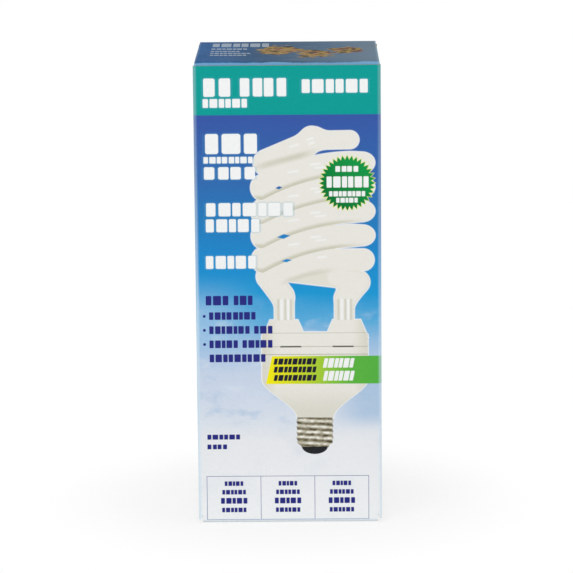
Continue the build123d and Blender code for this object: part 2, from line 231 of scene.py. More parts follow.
# %% [markdown]
# ## The card
# A carton like this is die-cut from one flat sheet, creased and folded. Blender could fold
# planes with a Solidify modifier, but its edges would all look alike. Here each panel and flap
# is a strip bent along a line with rounded corners, worked out on a grid with both faces of the
# card, so that the printed side, the bare side and the fluted cut edge get their own finish.
# The UV map is the flat blank itself: every point keeps its place on the unfolded sheet.

# %% Sizes of the card, from the solid model
card = 1.5 * mm
fold_radius = 2.0 * mm
carton_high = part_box("carton")[1]
half_width = carton_high.x
half_depth = carton_high.y
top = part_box("lid")[1].z
lid_under = top - card
flap_gap = 0.3 * mm
flap_top = lid_under - flap_gap
fold_x = half_width - fold_radius
fold_y = half_depth - fold_radius
inner_y = half_depth - card
inner_flap_level = card
side_flap_level = 2 * card
slit = 0.3 * mm  # half of the cut between a flap and its neighbour
panel_pitch = 2 * fold_x + fold_radius * pi / 2  # from fold to fold on the flat blank
print("Carton", round(2 * half_width, 4), "wide and", round(top, 4), "high, in metres")

# %% A bent line
arc_steps = 6


def bent_line(corners, radius=fold_radius, run_step=4.0 * mm):
    """A line through 2-D corners, rounded at each: points, outward normals and length run.
    A run goes straight from the end of one arc to the start of the next. Round a corner the
    point is centre - side * radius * normal, while its heading turns evenly. The normal is the
    heading turned a quarter to the right, and side is the way in which the line turns."""
    corners = np.array(corners, float)
    legs = np.diff(corners, axis=0)
    lengths = np.hypot(legs[:, 0], legs[:, 1])
    headings = np.arctan2(legs[:, 1], legs[:, 0])
    turns = (np.diff(headings) + pi) % (2 * pi) - pi
    trims = np.concatenate([[0], radius * np.tan(abs(turns) / 2), [0]])
    points, normals = [], []
    for leg, heading in enumerate(headings):
        along = np.array([cos(heading), sin(heading)])
        start = corners[leg] + along * trims[leg]
        run = lengths[leg] - trims[leg] - trims[leg + 1]
        steps = max(1, round(run / run_step))
        ahead = np.linspace(0, run, steps + 1)[:, None]
        points.append(start + ahead * along)
        normals.append(np.tile([along[1], -along[0]], (steps + 1, 1)))
        if leg < len(turns) and turns[leg]:
            side = np.sign(turns[leg])
            centre = start + run * along + side * radius * np.array([-along[1], along[0]])
            angle = heading + turns[leg] * np.linspace(0, 1, arc_steps + 1)[1:-1]
            out = np.stack([np.sin(angle), -np.cos(angle)], axis=1)
            points.append(centre + side * radius * out)
            normals.append(out)
    points, normals = np.concatenate(points), np.concatenate(normals)
    steps = np.hypot(*np.diff(points, axis=0).T)
    fresh = np.concatenate([[True], steps > 1e-9])
    run_so_far = np.concatenate([[0], np.cumsum(steps)])
    return points[fresh], normals[fresh], run_so_far[fresh]


print("A square corner takes", arc_steps, "steps")

# %% A finished object
sharp_turn = radians(35)  # edges that turn by more stay sharp
same_place = 1e-6  # points nearer than this, in metres, are joined


def finished(name, mesh, sharp=sharp_turn):
    """An object of a mesh whose doubled points are joined, smooth except at sharp edges."""
    work = bmesh.new()
    work.from_mesh(mesh)
    bmesh.ops.remove_doubles(work, verts=work.verts, dist=same_place)
    work.to_mesh(mesh)
    work.free()
    mesh.polygons.foreach_set("use_smooth", np.ones(len(mesh.polygons), bool))
    mesh.set_sharp_from_angle(angle=sharp)
    mesh.update()
    piece = bpy.data.objects.new(name, mesh)
    scene.collection.objects.link(piece)
    return piece


print("Edges stay sharp from", round(sharp_turn, 2), "radians")

# %% A patch of card
PRINTED, BARE, CUT = range(3)


class Sheet:
    """Patches of card that make one mesh: corners, quads, places on the blank and finishes."""

    def __init__(self):
        self.points, self.quads, self.uvs, self.finishes = [], [], [], []
        self.count = 0

    def add(self, outside, normal, blank, cut):
        """One patch. outside, normal and blank are grids of rows and columns, and cut names
        its raw sides. The bare side lies at outside - card * normal, and a strip joins the two
        along each raw side."""
        across, up = outside[0, 1] - outside[0, 0], outside[1, 0] - outside[0, 0]
        if np.cross(across, up) @ normal[0, 0] < 0:
            outside, normal, blank = outside[:, ::-1], normal[:, ::-1], blank[:, ::-1]
            swap = {"left": "right", "right": "left"}
            cut = [swap.get(side, side) for side in cut]
        rows, columns = outside.shape[:2]
        grid = np.arange(rows * columns).reshape(rows, columns)
        quads = np.stack([grid[:-1, :-1], grid[:-1, 1:], grid[1:, 1:], grid[1:, :-1]], -1)
        quads = quads.reshape(-1, 4)
        back = rows * columns
        flat = blank.reshape(-1, 2)
        both = np.concatenate([outside.reshape(-1, 3), (outside - card * normal).reshape(-1, 3)])
        self._keep(quads, flat[quads], PRINTED)
        self._keep(quads[:, ::-1] + back, flat[quads[:, ::-1]], BARE)
        edges = {"low": grid[0], "high": grid[-1, ::-1],
                 "left": grid[::-1, 0], "right": grid[:, -1]}
        for side in cut:
            line = edges[side]
            here, there = line[:-1], line[1:]
            strip = np.stack([there, here, here + back, there + back], -1)
            run = np.linalg.norm(np.diff(both[line], axis=0), axis=1)
            run = np.concatenate([[0], np.cumsum(run)])
            a, b, zero = run[:-1], run[1:], np.zeros(len(run) - 1)
            places = [np.stack([b, zero], -1), np.stack([a, zero], -1),
                      np.stack([a, zero + card], -1), np.stack([b, zero + card], -1)]
            self._keep(strip, np.stack(places, 1), CUT)
        self.points.append(both)
        self.count += len(both)

    def _keep(self, quads, uvs, finish):
        """Adds quads, numbered from the patch's first point, to the mesh."""
        self.quads.append(quads + self.count)
        self.uvs.append(uvs)
        self.finishes.append(np.full(len(quads), finish))

    def make(self, name, materials):
        """The mesh object, with patches joined where they share an edge."""
        quads = np.concatenate(self.quads)
        mesh = bpy.data.meshes.new(name)
        mesh.from_pydata(np.concatenate(self.points), [], quads)
        mesh.polygons.foreach_set("material_index", np.concatenate(self.finishes).astype("i"))
        layer = mesh.uv_layers.new(name="blank")
        layer.data.foreach_set("uv", np.concatenate(self.uvs).astype("f").ravel())
        for material in materials:
            mesh.materials.append(material)
        return finished(name, mesh)


print("Finishes of a sheet: printed", PRINTED, "bare", BARE, "cut", CUT)

# %% How a panel sits
panel_sink = 0.35 * mm
lip_sag = 0.55 * mm
lip_reach = 6 * mm  # how far back from the front fold the sag dies out
lip_waves = ((75, 1.0), (160, -0.6))  # radians for each metre across, and where each starts


def sunk(share, height):
    """How far a panel lies inside its flat: most in the middle, none at its folds.
    It is panel_sink times a parabola across and a parabola up the panel."""
    up_share = np.clip((height - side_flap_level) / (flap_top - side_flap_level), 0, 1)
    return panel_sink * (1 - np.clip(share, -1, 1) ** 2) * 4 * up_share * (1 - up_share)


def sagged(x, from_front):
    """How far the lid's front fold dips: a slow wave of x that dies out towards the back."""
    wave = 0.5 - sum(0.25 * np.cos(pace * x + start) for pace, start in lip_waves)
    return lip_sag * wave * np.exp(-from_front / lip_reach)


print("Panels sink by up to", panel_sink, "m")

# %% The tube of four panels
wall_low = side_flap_level + fold_radius
wall_high = flap_top - fold_radius
glue_flap = 16.0 * mm
glue_slope = 11.0 * mm  # by which each end of the glued flap draws in towards its free edge
front_edge = lid_under - 0.2 * mm  # the front panel's cut edge, just under the lid
post_foot = card + 0.4 * mm  # where the ends of the upright folds stop
wall_rows = 57

plan, plan_normals, plan_run = bent_line(
    [(glue_flap - fold_x, inner_y), (-half_width, inner_y), (-half_width, -half_depth),
     (half_width, -half_depth), (half_width, half_depth), (-fold_x, half_depth),
     (-half_width, half_depth)])


def column(x, y):
    """Which point of the plan lies at x, y."""
    return int(np.argmin(np.hypot(plan[:, 0] - x, plan[:, 1] - y)))


front_left = column(-fold_x, -half_depth)
blank_run = plan_run - plan_run[front_left] - fold_x  # so that it equals x on the front panel
glue_share = np.clip(1 - plan_run / glue_flap, 0, 1)
tube = Sheet()


def wall(first, last, heights, cut):
    """Upright card from one point of the plan to another, repeated at each height. The glued
    flap narrows towards its free edge, in proportion to the distance from its fold."""
    across = slice(first, last + 1)
    rows, columns = len(heights), last + 1 - first
    u = blank_run[across]
    share = ((u / panel_pitch + 0.5) % 1 - 0.5) * panel_pitch / fold_x
    inwards = sunk(np.tile(share, (rows, 1)), heights[:, None])
    centre = (wall_low + wall_high) / 2
    narrower = 1 - glue_share[across] * glue_slope / (wall_high - centre)
    z = centre + (heights[:, None] - centre) * narrower
    outside = np.zeros((rows, columns, 3))
    outside[..., :2] = plan[across] - inwards[..., None] * plan_normals[across]
    outside[..., 2] = z
    normal = np.zeros_like(outside)
    normal[..., :2] = plan_normals[across]
    tube.add(outside, normal, np.stack([np.tile(u, (rows, 1)), z], -1), cut)


end = len(plan) - 1
wall(0, end, np.linspace(wall_low, wall_high, wall_rows), ["left", "right"])
print("Points round the tube:", end + 1)

# %% What stands above and below the flaps' folds
left_back = column(-half_width, inner_y - fold_radius)
left_front = column(-half_width, -fold_y)
front_right = column(fold_x, -half_depth)
right_front = column(half_width, -fold_y)
right_back = column(half_width, fold_y)
back_right = column(fold_x, half_depth)
back_left = column(-fold_x, half_depth)
all_free = ["left", "right", "high"]

wall(left_front, right_front, np.array([wall_high, flap_top, front_edge]), all_free)
wall(right_back, back_right, np.array([wall_high, flap_top]), all_free)
wall(back_left, end, np.array([wall_high, flap_top]), all_free)
posts = [(left_front, front_left), (front_right, right_front), (right_back, back_right),
         (back_left, end)]
for first, last in posts:
    wall(first, last, np.array([post_foot, wall_low]), ["left", "right", "low"])
wall(0, left_back, np.array([wall_low - mm, wall_low]), ["left", "right", "low"])
wall(0, left_back, np.array([wall_high, wall_high + mm]), all_free)
print("Upright strips:", 4 + len(posts) + 1)

# %% How a flap is bent
dust_front = card + 1.2 * mm - inner_y  # leaves the tuck its room
dust_slope = tan(radians(12))  # of the dust flap's front edge


def flap(profile, across, edges, place, blank_u, upwards):
    """A flap: a bent line in an upright plane, carried across its panel.
    across holds where the panel's columns are. edges turns the run along the flap into its two
    side edges, between which the columns are spread evenly. place lays (bent line, across)
    into space, and blank_u says where a column lies on the blank."""
    points, normals, run = bent_line(profile)
    normals = normals * np.sign(points[0, 0] * normals[0, 0])  # away from the carton's axis
    low, high = edges(run)
    low[0], high[0] = across[0], across[-1]
    share = (across - across[0]) / (across[-1] - across[0])
    spread = low[:, None] + (high - low)[:, None] * share
    outside = place(np.repeat(points[:, None], len(across), 1), spread)
    normal = place(np.repeat(normals[:, None], len(across), 1), np.zeros_like(spread))
    start = wall_high if upwards else wall_low
    v = np.repeat((start + (run if upwards else -run))[:, None], len(across), 1)
    tube.add(outside, normal, np.stack([blank_u(spread), v], -1), all_free)


def in_depth(bent, spread):
    """A bent line in depth and height, spread along the width."""
    return np.stack([spread, bent[..., 0], bent[..., 1]], -1)


def in_width(bent, spread):
    """A bent line in width and height, spread along the depth."""
    return np.stack([bent[..., 0], spread, bent[..., 1]], -1)


def straight(low, high):
    """Side edges that stay a slit away from low and high."""
    return lambda run: (np.full(len(run), low + slit), np.full(len(run), high - slit))


def dust_edges(run):
    """The dust flap's front edge slopes back along the flap, and its back edge is straight."""
    past_fold = np.maximum(run - fold_radius * pi / 2, 0)
    return dust_front + past_fold * dust_slope, np.full(len(run), fold_y - slit)


print("The dust flaps start", round(dust_front, 4), "m from the middle")

# %% The six flaps
bottom_flap = 32.0 * mm
dust_flap = 38.0 * mm
outer_flap_end = half_depth - 1.0 * mm
inner_flap_end = 1.2 * mm - inner_y
front_columns = plan[front_left:front_right + 1, 0]
back_columns = plan[back_right:back_left + 1, 0]
right_columns = plan[right_front:right_back + 1, 1]
left_columns = plan[left_back:left_front + 1, 1][::-1]
flap([(-half_depth, wall_low), (-half_depth, 0), (outer_flap_end, 0)],
     front_columns, straight(-fold_x, fold_x), in_depth, lambda x: x, False)
flap([(half_depth, wall_low), (half_depth, inner_flap_level), (inner_flap_end, inner_flap_level)],
     back_columns, lambda run: straight(-fold_x, fold_x)(run)[::-1], in_depth,
     lambda x: 2 * panel_pitch - x, False)
for side, columns in ((1, right_columns), (-1, left_columns)):
    out = side * half_width
    flap([(out, wall_low), (out, side_flap_level), (out - side * bottom_flap, side_flap_level)],
         columns, straight(columns[0], columns[-1]), in_width,
         lambda y: side * (panel_pitch + y), False)
    flap([(out, wall_high), (out, flap_top), (out - side * dust_flap, flap_top)],
         columns, dust_edges, in_width, lambda y: side * (panel_pitch + y), True)
print("Flaps below: 2 across and 2 under them; above: 2 dust flaps")

# %% [markdown]
# ## The lid
# The lid is the same sheet of card, which goes on from the back panel over a crease. This
# piece starts a little below the crease and is bent over it, between the two parts of the
# solid model.

# %% Lid and tuck
tuck = 15.0 * mm
tuck_corner = 9.0 * mm
tuck_side_gap = 1.0 * mm
lid_side_gap = 0.8 * mm
lid_front = 0.3 * mm - inner_y
lid_half = half_width - lid_side_gap
tuck_half = inner_y - tuck_side_gap
tuck_lean = tuck / (2 * (half_depth - lid_front))
tuck_tip = lid_front + tuck * sin(tuck_lean)
lid_step = 1.5 * mm
lid_columns = 49
lid_bow = 0.3 * mm

points, normals, run = bent_line(
    [(half_depth, wall_high), (half_depth, top), (lid_front, top), (tuck_tip, top - tuck)],
    run_step=lid_step)
back_fold = top - fold_radius - wall_high + fold_radius * pi / 4
front_fold = run[-1] - (tuck - fold_radius)
to_end = run[-1] - run
corner = np.clip(tuck_corner - to_end, 0, tuck_corner)
rounding = tuck_corner - np.sqrt(tuck_corner**2 - corner**2)
lid_edge = np.select(
    [run <= 0, run < back_fold, run < front_fold],
    [fold_x, fold_x - slit, lid_half], tuck_half - rounding)
share = np.linspace(-1, 1, lid_columns)
x = lid_edge[:, None] * share
from_front = np.maximum(points[:, 0] - lid_front - fold_radius, 0)[:, None]
dips = sagged(x, from_front) * (run > back_fold)[:, None]
bowed = np.clip((run - back_fold) / (front_fold - back_fold), 0, 1)[:, None]
dips = dips + lid_bow * (1 - share**2) * 4 * bowed * (1 - bowed)
outside = np.stack([x, 0 * x + points[:, :1], points[:, 1:] - dips], -1)
normal = np.stack([0 * x, 0 * x + normals[:, :1], 0 * x + normals[:, 1:]], -1)
v = 0 * x + (wall_high + run)[:, None]
lid = Sheet()
lid.add(outside, normal, np.stack([2 * panel_pitch - x, v], -1), ["left", "right", "low", "high"])
print("Lid rows:", len(run))

# %% [markdown]
# ## Paint worked out by nodes
# The print could be an image, but then it would blur close up. Instead each colour field is a
# formula of the place on the flat blank, in millimetres. Written out socket by socket such
# formulas are hard to read, so a small class lets ordinary sums build the nodes.

# %% Arithmetic built of nodes
class Nodes:
    """A node tree, and the steps of arithmetic that are built in it."""

    def __init__(self, tree):
        self.tree = tree

    def node(self, kind, **settings):
        """A new node of a kind, with some of its settings."""
        return add_node(self.tree, kind, **settings)

    def feed(self, socket, value):
        """Links a field or a socket, or sets a plain number or colour."""
        if isinstance(value, Field):
            value = value.socket
        if isinstance(value, bpy.types.NodeSocket):
            self.tree.links.new(value, socket)
        else:
            socket.default_value = (*value, 1.0) if isinstance(value, tuple) else value

    def math(self, operation, *values):
        """One step of arithmetic on fields and numbers, as a field."""
        made = self.node("ShaderNodeMath", operation=operation)
        for socket, value in zip(made.inputs, values):
            self.feed(socket, value)
        return Field(self, made.outputs[0])

    def ramp(self, low, high, value, curve="SMOOTHSTEP"):
        """0 below low, 1 above high, and an even or smooth rise between them."""
        made = self.node("ShaderNodeMapRange", interpolation_type=curve)
        made.inputs["From Min"].default_value = low
        made.inputs["From Max"].default_value = high
        self.feed(made.inputs["Value"], value)
        return Field(self, made.outputs["Result"])


print("Arithmetic: a node for each step, and ramps")

# %% Sums of fields
class Field:
    """A number that varies over a surface. Sums and products of fields make the nodes for them."""

    def __init__(self, paint, socket):
        self.paint, self.socket = paint, socket

    def __add__(self, other):
        return self.paint.math("ADD", self, other)

    def __sub__(self, other):
        return self.paint.math("SUBTRACT", self, other)

    def __rsub__(self, other):
        return self.paint.math("SUBTRACT", other, self)

    def __mul__(self, other):
        return self.paint.math("MULTIPLY", self, other)

    def __truediv__(self, other):
        return self.paint.math("DIVIDE", self, other)

    def __rtruediv__(self, other):
        return self.paint.math("DIVIDE", other, self)

    def __abs__(self):
        return self.paint.math("ABSOLUTE", self)

    def most(self, other):
        """The higher of the two."""
        return self.paint.math("MAXIMUM", self, other)

    def least(self, other):
        """The lower of the two."""
        return self.paint.math("MINIMUM", self, other)

    def clipped(self, low, high):
        """The field, held between low and high."""
        return self.most(low).least(high)

    def far(self, other):
        """The length of a step of self and other, at right angles."""
        return self.paint.math("SQRT", self * self + other * other)

    def inside(self, soft=0.15):
        """1 where a signed distance in millimetres is below 0, with an edge as soft as said."""
        return 1.0 - self.paint.ramp(-soft, soft, self, "LINEAR")

    __radd__, __rmul__ = __add__, __mul__


print("Fields take +, -, *, / and abs")

# %% A finish and its nodes
class Paint(Nodes):
    """A material's node tree, with the few kinds of node that the finishes below are made of."""

    def __init__(self, name):
        self.material = bpy.data.materials.new(name)
        super().__init__(new_tree(self.material))
        self.surface = self.node("ShaderNodeBsdfPrincipled")
        output = self.node("ShaderNodeOutputMaterial")
        self.tree.links.new(self.surface.outputs[0], output.inputs["Surface"])

    def blank_place(self, layer="blank"):
        """Where a point lies on the flat sheet: along and up, in millimetres."""
        place = self.node("ShaderNodeUVMap", uv_map=layer)
        parts = self.node("ShaderNodeSeparateXYZ")
        self.tree.links.new(place.outputs[0], parts.inputs[0])
        return [Field(self, parts.outputs[axis]) / mm for axis in "XY"]

    def object_place(self):
        """Where a point lies in the model: width, depth and height, in millimetres."""
        place = self.node("ShaderNodeTexCoord")
        parts = self.node("ShaderNodeSeparateXYZ")
        self.tree.links.new(place.outputs["Object"], parts.inputs[0])
        return [Field(self, parts.outputs[axis]) / mm for axis in "XYZ"]

    def vector(self, x, y, z=0.0):
        """Three fields or numbers put together as a place."""
        made = self.node("ShaderNodeCombineXYZ")
        for socket, value in zip(made.inputs, (x, y, z)):
            self.feed(socket, value)
        return made.outputs[0]

    def noise(self, place, scale, detail=2.0, roughness=0.5):
        """Cloudy noise about 0.5, its lumps one over scale across, in the units of place."""
        made = self.node("ShaderNodeTexNoise")
        self.feed(made.inputs["Vector"], place)
        made.inputs["Scale"].default_value = scale
        made.inputs["Detail"].default_value = detail
        made.inputs["Roughness"].default_value = roughness
        return Field(self, made.outputs[0])

    def over(self, under, amount, colour):
        """colour laid over what is under it, by an amount from 0 to 1."""
        made = self.node("ShaderNodeMix", data_type="RGBA")
        self.feed(made.inputs["Factor"], amount)
        self.feed(made.inputs[6], under)
        self.feed(made.inputs[7], colour)
        return made.outputs[2]

    def gradient(self, value, stops):
        """Colours at given values, blended evenly between them. The stops run from low to high."""
        low, high = stops[0][0], stops[-1][0]
        made = self.node("ShaderNodeValToRGB")
        band = made.color_ramp
        while len(band.elements) < len(stops):
            band.elements.new(0.5)
        for element, (where, colour) in zip(band.elements, stops):
            element.position = (where - low) / (high - low)
            element.color = (*colour, 1)
        self.feed(made.inputs[0], self.ramp(low, high, value, "LINEAR"))
        return made.outputs[0]

    def finish(self, colour, roughness, relief=None, depth=0.0, **surface):
        """Sets the surface: its colour, roughness, relief (a field, depth in metres) and more."""
        self.feed(self.surface.inputs["Base Color"], colour)
        self.feed(self.surface.inputs["Roughness"], roughness)
        if relief is not None:
            bump = self.node("ShaderNodeBump")
            bump.inputs["Distance"].default_value = depth
            self.feed(bump.inputs["Height"], relief)
            self.tree.links.new(bump.outputs[0], self.surface.inputs["Normal"])
        for key, value in surface.items():
            name = key.replace("_", " ").title().replace("Ior", "IOR")
            self.surface.inputs[name].default_value = value
        return self.material


print("A finish starts as an empty Paint")

# %% Colours as a picture editor shows them
def srgb(*values):
    """A colour as a picture editor shows it, from 0 to 255, made linear."""
    share = np.array(values) / 255
    linear = np.where(share > 0.04045, ((share + 0.055) / 1.055) ** 2.4, share / 12.92)
    return tuple(float(v) for v in linear)


print("A mid grey of 128 is", round(srgb(128)[0], 3), "in linear light")

# %% A formula kept for many uses
class Formula(Nodes):
    """One rule of fields made into a node group, so that a shape used forty times is worked
    out once. Calling it with a paint and values gives the rule's field there."""

    def __init__(self, name, inputs, rule):
        super().__init__(bpy.data.node_groups.new(name, "ShaderNodeTree"))
        sides = [(key, "INPUT") for key in inputs.split()] + [("result", "OUTPUT")]
        for key, side in sides:
            self.tree.interface.new_socket(key, in_out=side, socket_type="NodeSocketFloat")
        start, end = self.node("NodeGroupInput"), self.node("NodeGroupOutput")
        fields = [Field(self, socket) for socket in start.outputs if socket.name]
        self.tree.links.new(rule(*fields).socket, end.inputs[0])

    def __call__(self, paint, *values):
        made = paint.node("ShaderNodeGroup", node_tree=self.tree)
        for socket, value in zip(made.inputs, values):
            paint.feed(socket, value)
        return Field(paint, made.outputs[0])


print("A formula is one node wherever it is used")

# %% Rules of simple shapes
def bar_rule(x, z, left, right, low, high):
    """Distance outside an upright rectangle, in mm, below 0 within it."""
    across = abs(x - (left + right) / 2) - (right - left) / 2
    up = abs(z - (low + high) / 2) - (high - low) / 2
    return across.most(up)


def stroke_rule(x, z, x0, z0, x1, z1, radius):
    """Distance outside a straight stroke with round ends: the distance to the nearest point
    of its middle line, which is the start plus a share from 0 to 1 of the way to the end."""
    run_x, run_z = x1 - x0, z1 - z0
    ahead = (x - x0) * run_x + (z - z0) * run_z
    share = (ahead / (run_x * run_x + run_z * run_z)).clipped(0, 1)
    return (x - x0 - share * run_x).far(z - z0 - share * run_z) - radius


def blocks_rule(x, z, left, right, low, high, count, waves):
    """Distance outside a row of blocks with round corners. A sine shifts the beat of the
    blocks by up to an eighth of one, so that they differ in width as letters do."""
    share = (x - left) / (right - left)
    width = (right - left) / count
    shift = share.paint.math("SINE", share * waves * (2 * pi)) * 0.12
    in_block = (share.paint.math("FRACT", share * count + shift) - 0.5) * width
    corner = width * 0.13
    aside = (abs(in_block) - (width * 0.41 - corner)).most(0)
    above = (abs(z - (low + high) / 2) - ((high - low) / 2 - corner)).most(0)
    return (aside.far(above) - corner).most(bar_rule(x, z, left, right, low, high))


bar_formula = Formula("bar", "x z left right low high", bar_rule)
stroke_formula = Formula("stroke", "x z x0 z0 x1 z1 radius", stroke_rule)
blocks_formula = Formula("blocks", "x z left right low high count waves", blocks_rule)
print("Formulas:", [group.name for group in bpy.data.node_groups])

# %% Bars, strokes and words
def bar(x, z, *sides):
    """A rectangle with its left, right, low and high sides."""
    return bar_formula(x.paint, x, z, *sides)


def stroke(x, z, start, end, radius):
    """A round-ended stroke from start to end."""
    return stroke_formula(x.paint, x, z, *start, *end, radius)


def words(x, z, left, right, low, high, letter, gaps=()):
    """A line of plain blocks in the place of words: one row for each stretch between gaps."""
    half_gap = 0.3 * letter
    sides = [side for gap in gaps for side in (gap - half_gap, gap + half_gap)]
    ends = [left, *sides, right]
    rows = []
    for start, end in zip(ends[::2], ends[1::2]):
        count = max(1, round((end - start) / letter))
        waves = max(1, round(count / 2.6))
        rows.append(blocks_formula(x.paint, x, z, start, end, low, high, count, waves))
    return any_of(rows)


def any_of(shapes):
    """The distance outside the nearest of several shapes."""
    return reduce(Field.least, shapes)


print("Shapes: bars, strokes and rows of blocks")

# %% [markdown]
# ## The print
# The front of the carton carries a header band, a sky that pales downwards, a picture of the
# lamp, a round burst, a two-coloured band and a small table. All are colour fields and simple
# shapes here, and plain blocks stand in the place of lettering. Sizes are millimetres on the
# flat blank, with x from the middle of the front panel and z from the carton's underside.

# %% Colours and places of the print
teal = srgb(3, 158, 151)
navy = srgb(40, 44, 128)
paper_white = srgb(246, 247, 247)
header_foot = 224.3
sky_stops = [
    (0, srgb(246, 248, 249)), (45, srgb(236, 238, 241)), (62, srgb(216, 225, 238)),
    (84, srgb(202, 215, 235)), (99, srgb(160, 196, 230)), (112, srgb(92, 174, 222)),
    (127, srgb(26, 153, 213)), (146, srgb(28, 138, 206)), (170, srgb(38, 122, 188)),
    (190, srgb(50, 106, 176)), (224, srgb(56, 88, 166))]
white_words = [
    # left, right, low, high, letter width, places of the gaps between words
    (-45.0, 0.1, 234.2, 244.0, 7.0, (-27.5,)), (-45.2, -21.0, 228.3, 233.0, 4.0),
    (7.5, 43.5, 235.9, 243.2, 6.0),
    (-44.6, -15.5, 203.4, 214.2, 9.0), (-45.1, -18.4, 198.3, 201.8, 3.4),
    (-45.2, -16.9, 189.6, 196.3, 6.4), (-44.3, 3.1, 169.6, 176.8, 6.8),
    (-44.5, -15.0, 161.0, 168.0, 5.9), (-44.7, -17.1, 141.0, 148.0, 5.5)]
navy_words = [
    (-45.0, -19.2, 121.0, 126.2, 3.9, (-31.0,)), (-43.2, -17.7, 113.0, 117.2, 3.4),
    (-43.2, -8.6, 105.2, 109.5, 3.3, (-20.0,)), (-43.2, -8.7, 97.4, 101.7, 3.4, (-26.4,)),
    (-43.2, -12.5, 89.6, 93.9, 3.4), (-45.0, -26.8, 46.6, 49.4, 3.0),
    (-45.0, -34.0, 41.2, 43.9, 2.7)]
lid_words = [(-42.0, -10.0, 10.0, 26.0, 5.2), (-42.0, -22.0, 33.0, 38.5, 2.8),
             (-42.0, -26.0, 45.0, 49.0, 2.4), (-42.0, -20.0, 54.0, 58.0, 2.4),
             (-42.0, -22.0, 63.0, 67.0, 2.4)]
# across, back from the hinge, and reach of each patch of blots
lid_lumps = [(-4.0, 42.0, 12.0), (15.0, 58.0, 10.0), (32.0, 44.0, 9.0)]
bullets = [(-45.6, 115.0), (-45.6, 107.3), (-45.6, 99.5)]
flute_pitch = 3.2
print("Lines of blocks:", len(white_words) + len(navy_words))

# %% [markdown]
# ## The pictured lamp
# On the real carton the lamp is a photograph. Here each part of it is a distance formula: a
# curved stroke for every pass of the tube, straight strokes for the ends, elbows and legs, and
# a smooth step for the bowl of the case. A smooth minimum melts strokes that meet into one
# outline, and the shades and streaks of light follow the same distances.

# %% The pictured lamp: its passes of tube
lamp_x = 13.4
pass_reach = 26.8  # from the lamp's middle to the centre of a pass's end
pass_radius = 6.3
pass_rise = 13.15  # from one pass to the next, and along one from left to right
lowest_pass = 145.6  # height of the lowest whole pass's left end
last_pass = 3  # number of the highest whole pass, counted from 0
pass_curve = 2.2


def passes(x, z):
    """Distance outside the pile of slanted passes, and how far up its own pass a point lies.
    With s from 0 to 1 across the lamp, a pass's middle line is the rise times
    1 - (1 - s) to the power of the curve: steep at the left and level at the right."""
    s = ((x - lamp_x) / (2 * pass_reach) + 0.5).clipped(0, 1)
    line = (1.0 - x.paint.math("POWER", 1.0 - s, pass_curve)) * pass_rise
    level = z - line - lowest_pass
    number = x.paint.math("ROUND", level / pass_rise).clipped(0, last_pass)
    aside = (abs(x - lamp_x) - pass_reach).most(0)
    up = level - number * pass_rise
    narrower = s * 0.15 + 0.91 + x.paint.ramp(32.0, 44.0, x) * 0.09  # towards its right end
    return aside.far(up * narrower) - pass_radius, up


print("Passes rise by", pass_rise, "mm")

# %% The pictured lamp: its ends, elbows and legs
def melted(paint, shapes, blend):
    """One outline round several, with the corners between them filled by a smooth minimum."""
    return reduce(lambda joined, shape: paint.math("SMOOTH_MIN", joined, shape, blend), shapes)


def top_pass(x, z):
    """The run over the top: up from the left, over a hump, and out to a round end."""
    return melted(x.paint, [
        stroke(x, z, (-11.2, 198.4), (8.0, 206.4), 7.0),
        stroke(x, z, (12.9, 211.8), (14.0, 211.6), 6.0),
        stroke(x, z, (16.0, 210.4), (33.4, 210.6), 4.7)], 4.5)


def low_pass(x, z):
    """The lowest run: out of the left elbow, up, and level to the right."""
    return melted(x.paint, [
        stroke(x, z, (-10.6, 136.6), (3.0, 142.6), 6.6),
        stroke(x, z, (3.0, 142.6), (20.0, 145.6), 6.1),
        stroke(x, z, (20.0, 145.6), (40.2, 145.4), 5.8)], 1.5)


def left_foot(x, z):
    """The left elbow and leg."""
    return melted(x.paint, [stroke(x, z, (-10.6, 136.0), (-3.6, 126.4), 6.2),
                            stroke(x, z, (-2.4, 124.0), (-2.4, 108.0), 5.2)], 3.0)


def right_foot(x, z):
    """The right elbow and leg."""
    return melted(x.paint, [stroke(x, z, (26.0, 136.2), (37.2, 133.2), 5.6),
                            stroke(x, z, (37.4, 133.2), (31.6, 125.6), 6.0),
                            stroke(x, z, (30.0, 124.0), (30.0, 108.0), 5.2)], 3.0)


print("Ends, elbows and legs ready")

# %% The pictured lamp: its case and cap
collar_places = (-2.6, 31.2)
case_x = 14.0
case_half = 28.6
bowl_foot, bowl_top = 58.4, 80.0
cap_half = 9.8
cap_foot, cap_top = 42.0, 58.6
printed_pitch = 3.1
collar_top, collar_foot = 112.6, 103.0
case_top = 105.8


def collars(x, z):
    """Distance outside the two collars: their half width grows evenly from top to foot."""
    near = abs(x - collar_places[0]).least(abs(x - collar_places[1]))
    half = 7.5 + (collar_top - z) * 0.42
    return (near - half).most(z - collar_top).most(collar_foot - z)


def case(x, z):
    """Distance outside the case: upright sides over a bowl that narrows by a smooth step."""
    grown = x.paint.ramp(bowl_foot, bowl_top, z) * (case_half - cap_half) + cap_half
    corner = (z - case_top + 1.5).most(0)
    side = abs(x - case_x) - grown + corner * corner * 0.8
    return side.most(z - case_top).most(bowl_foot - z)


def printed_cap(x, z):
    """Distance outside the screw cap: its half width swells a little at each thread."""
    ridge = x.paint.math("SINE", z * (2 * pi / printed_pitch))
    narrow = x.paint.ramp(45.5, cap_foot, z) * 2.2
    side = abs(x - case_x + 0.3) - cap_half - ridge * 0.25 + narrow
    return side.most(z - cap_top).most(cap_foot - z)


print("Pictured case", 2 * case_half, "mm wide")

# %% Laying the tube on the sky
glass_tone = srgb(236, 234, 226)
shade_tone = srgb(203, 201, 181)
back_tone = srgb(229, 226, 215)
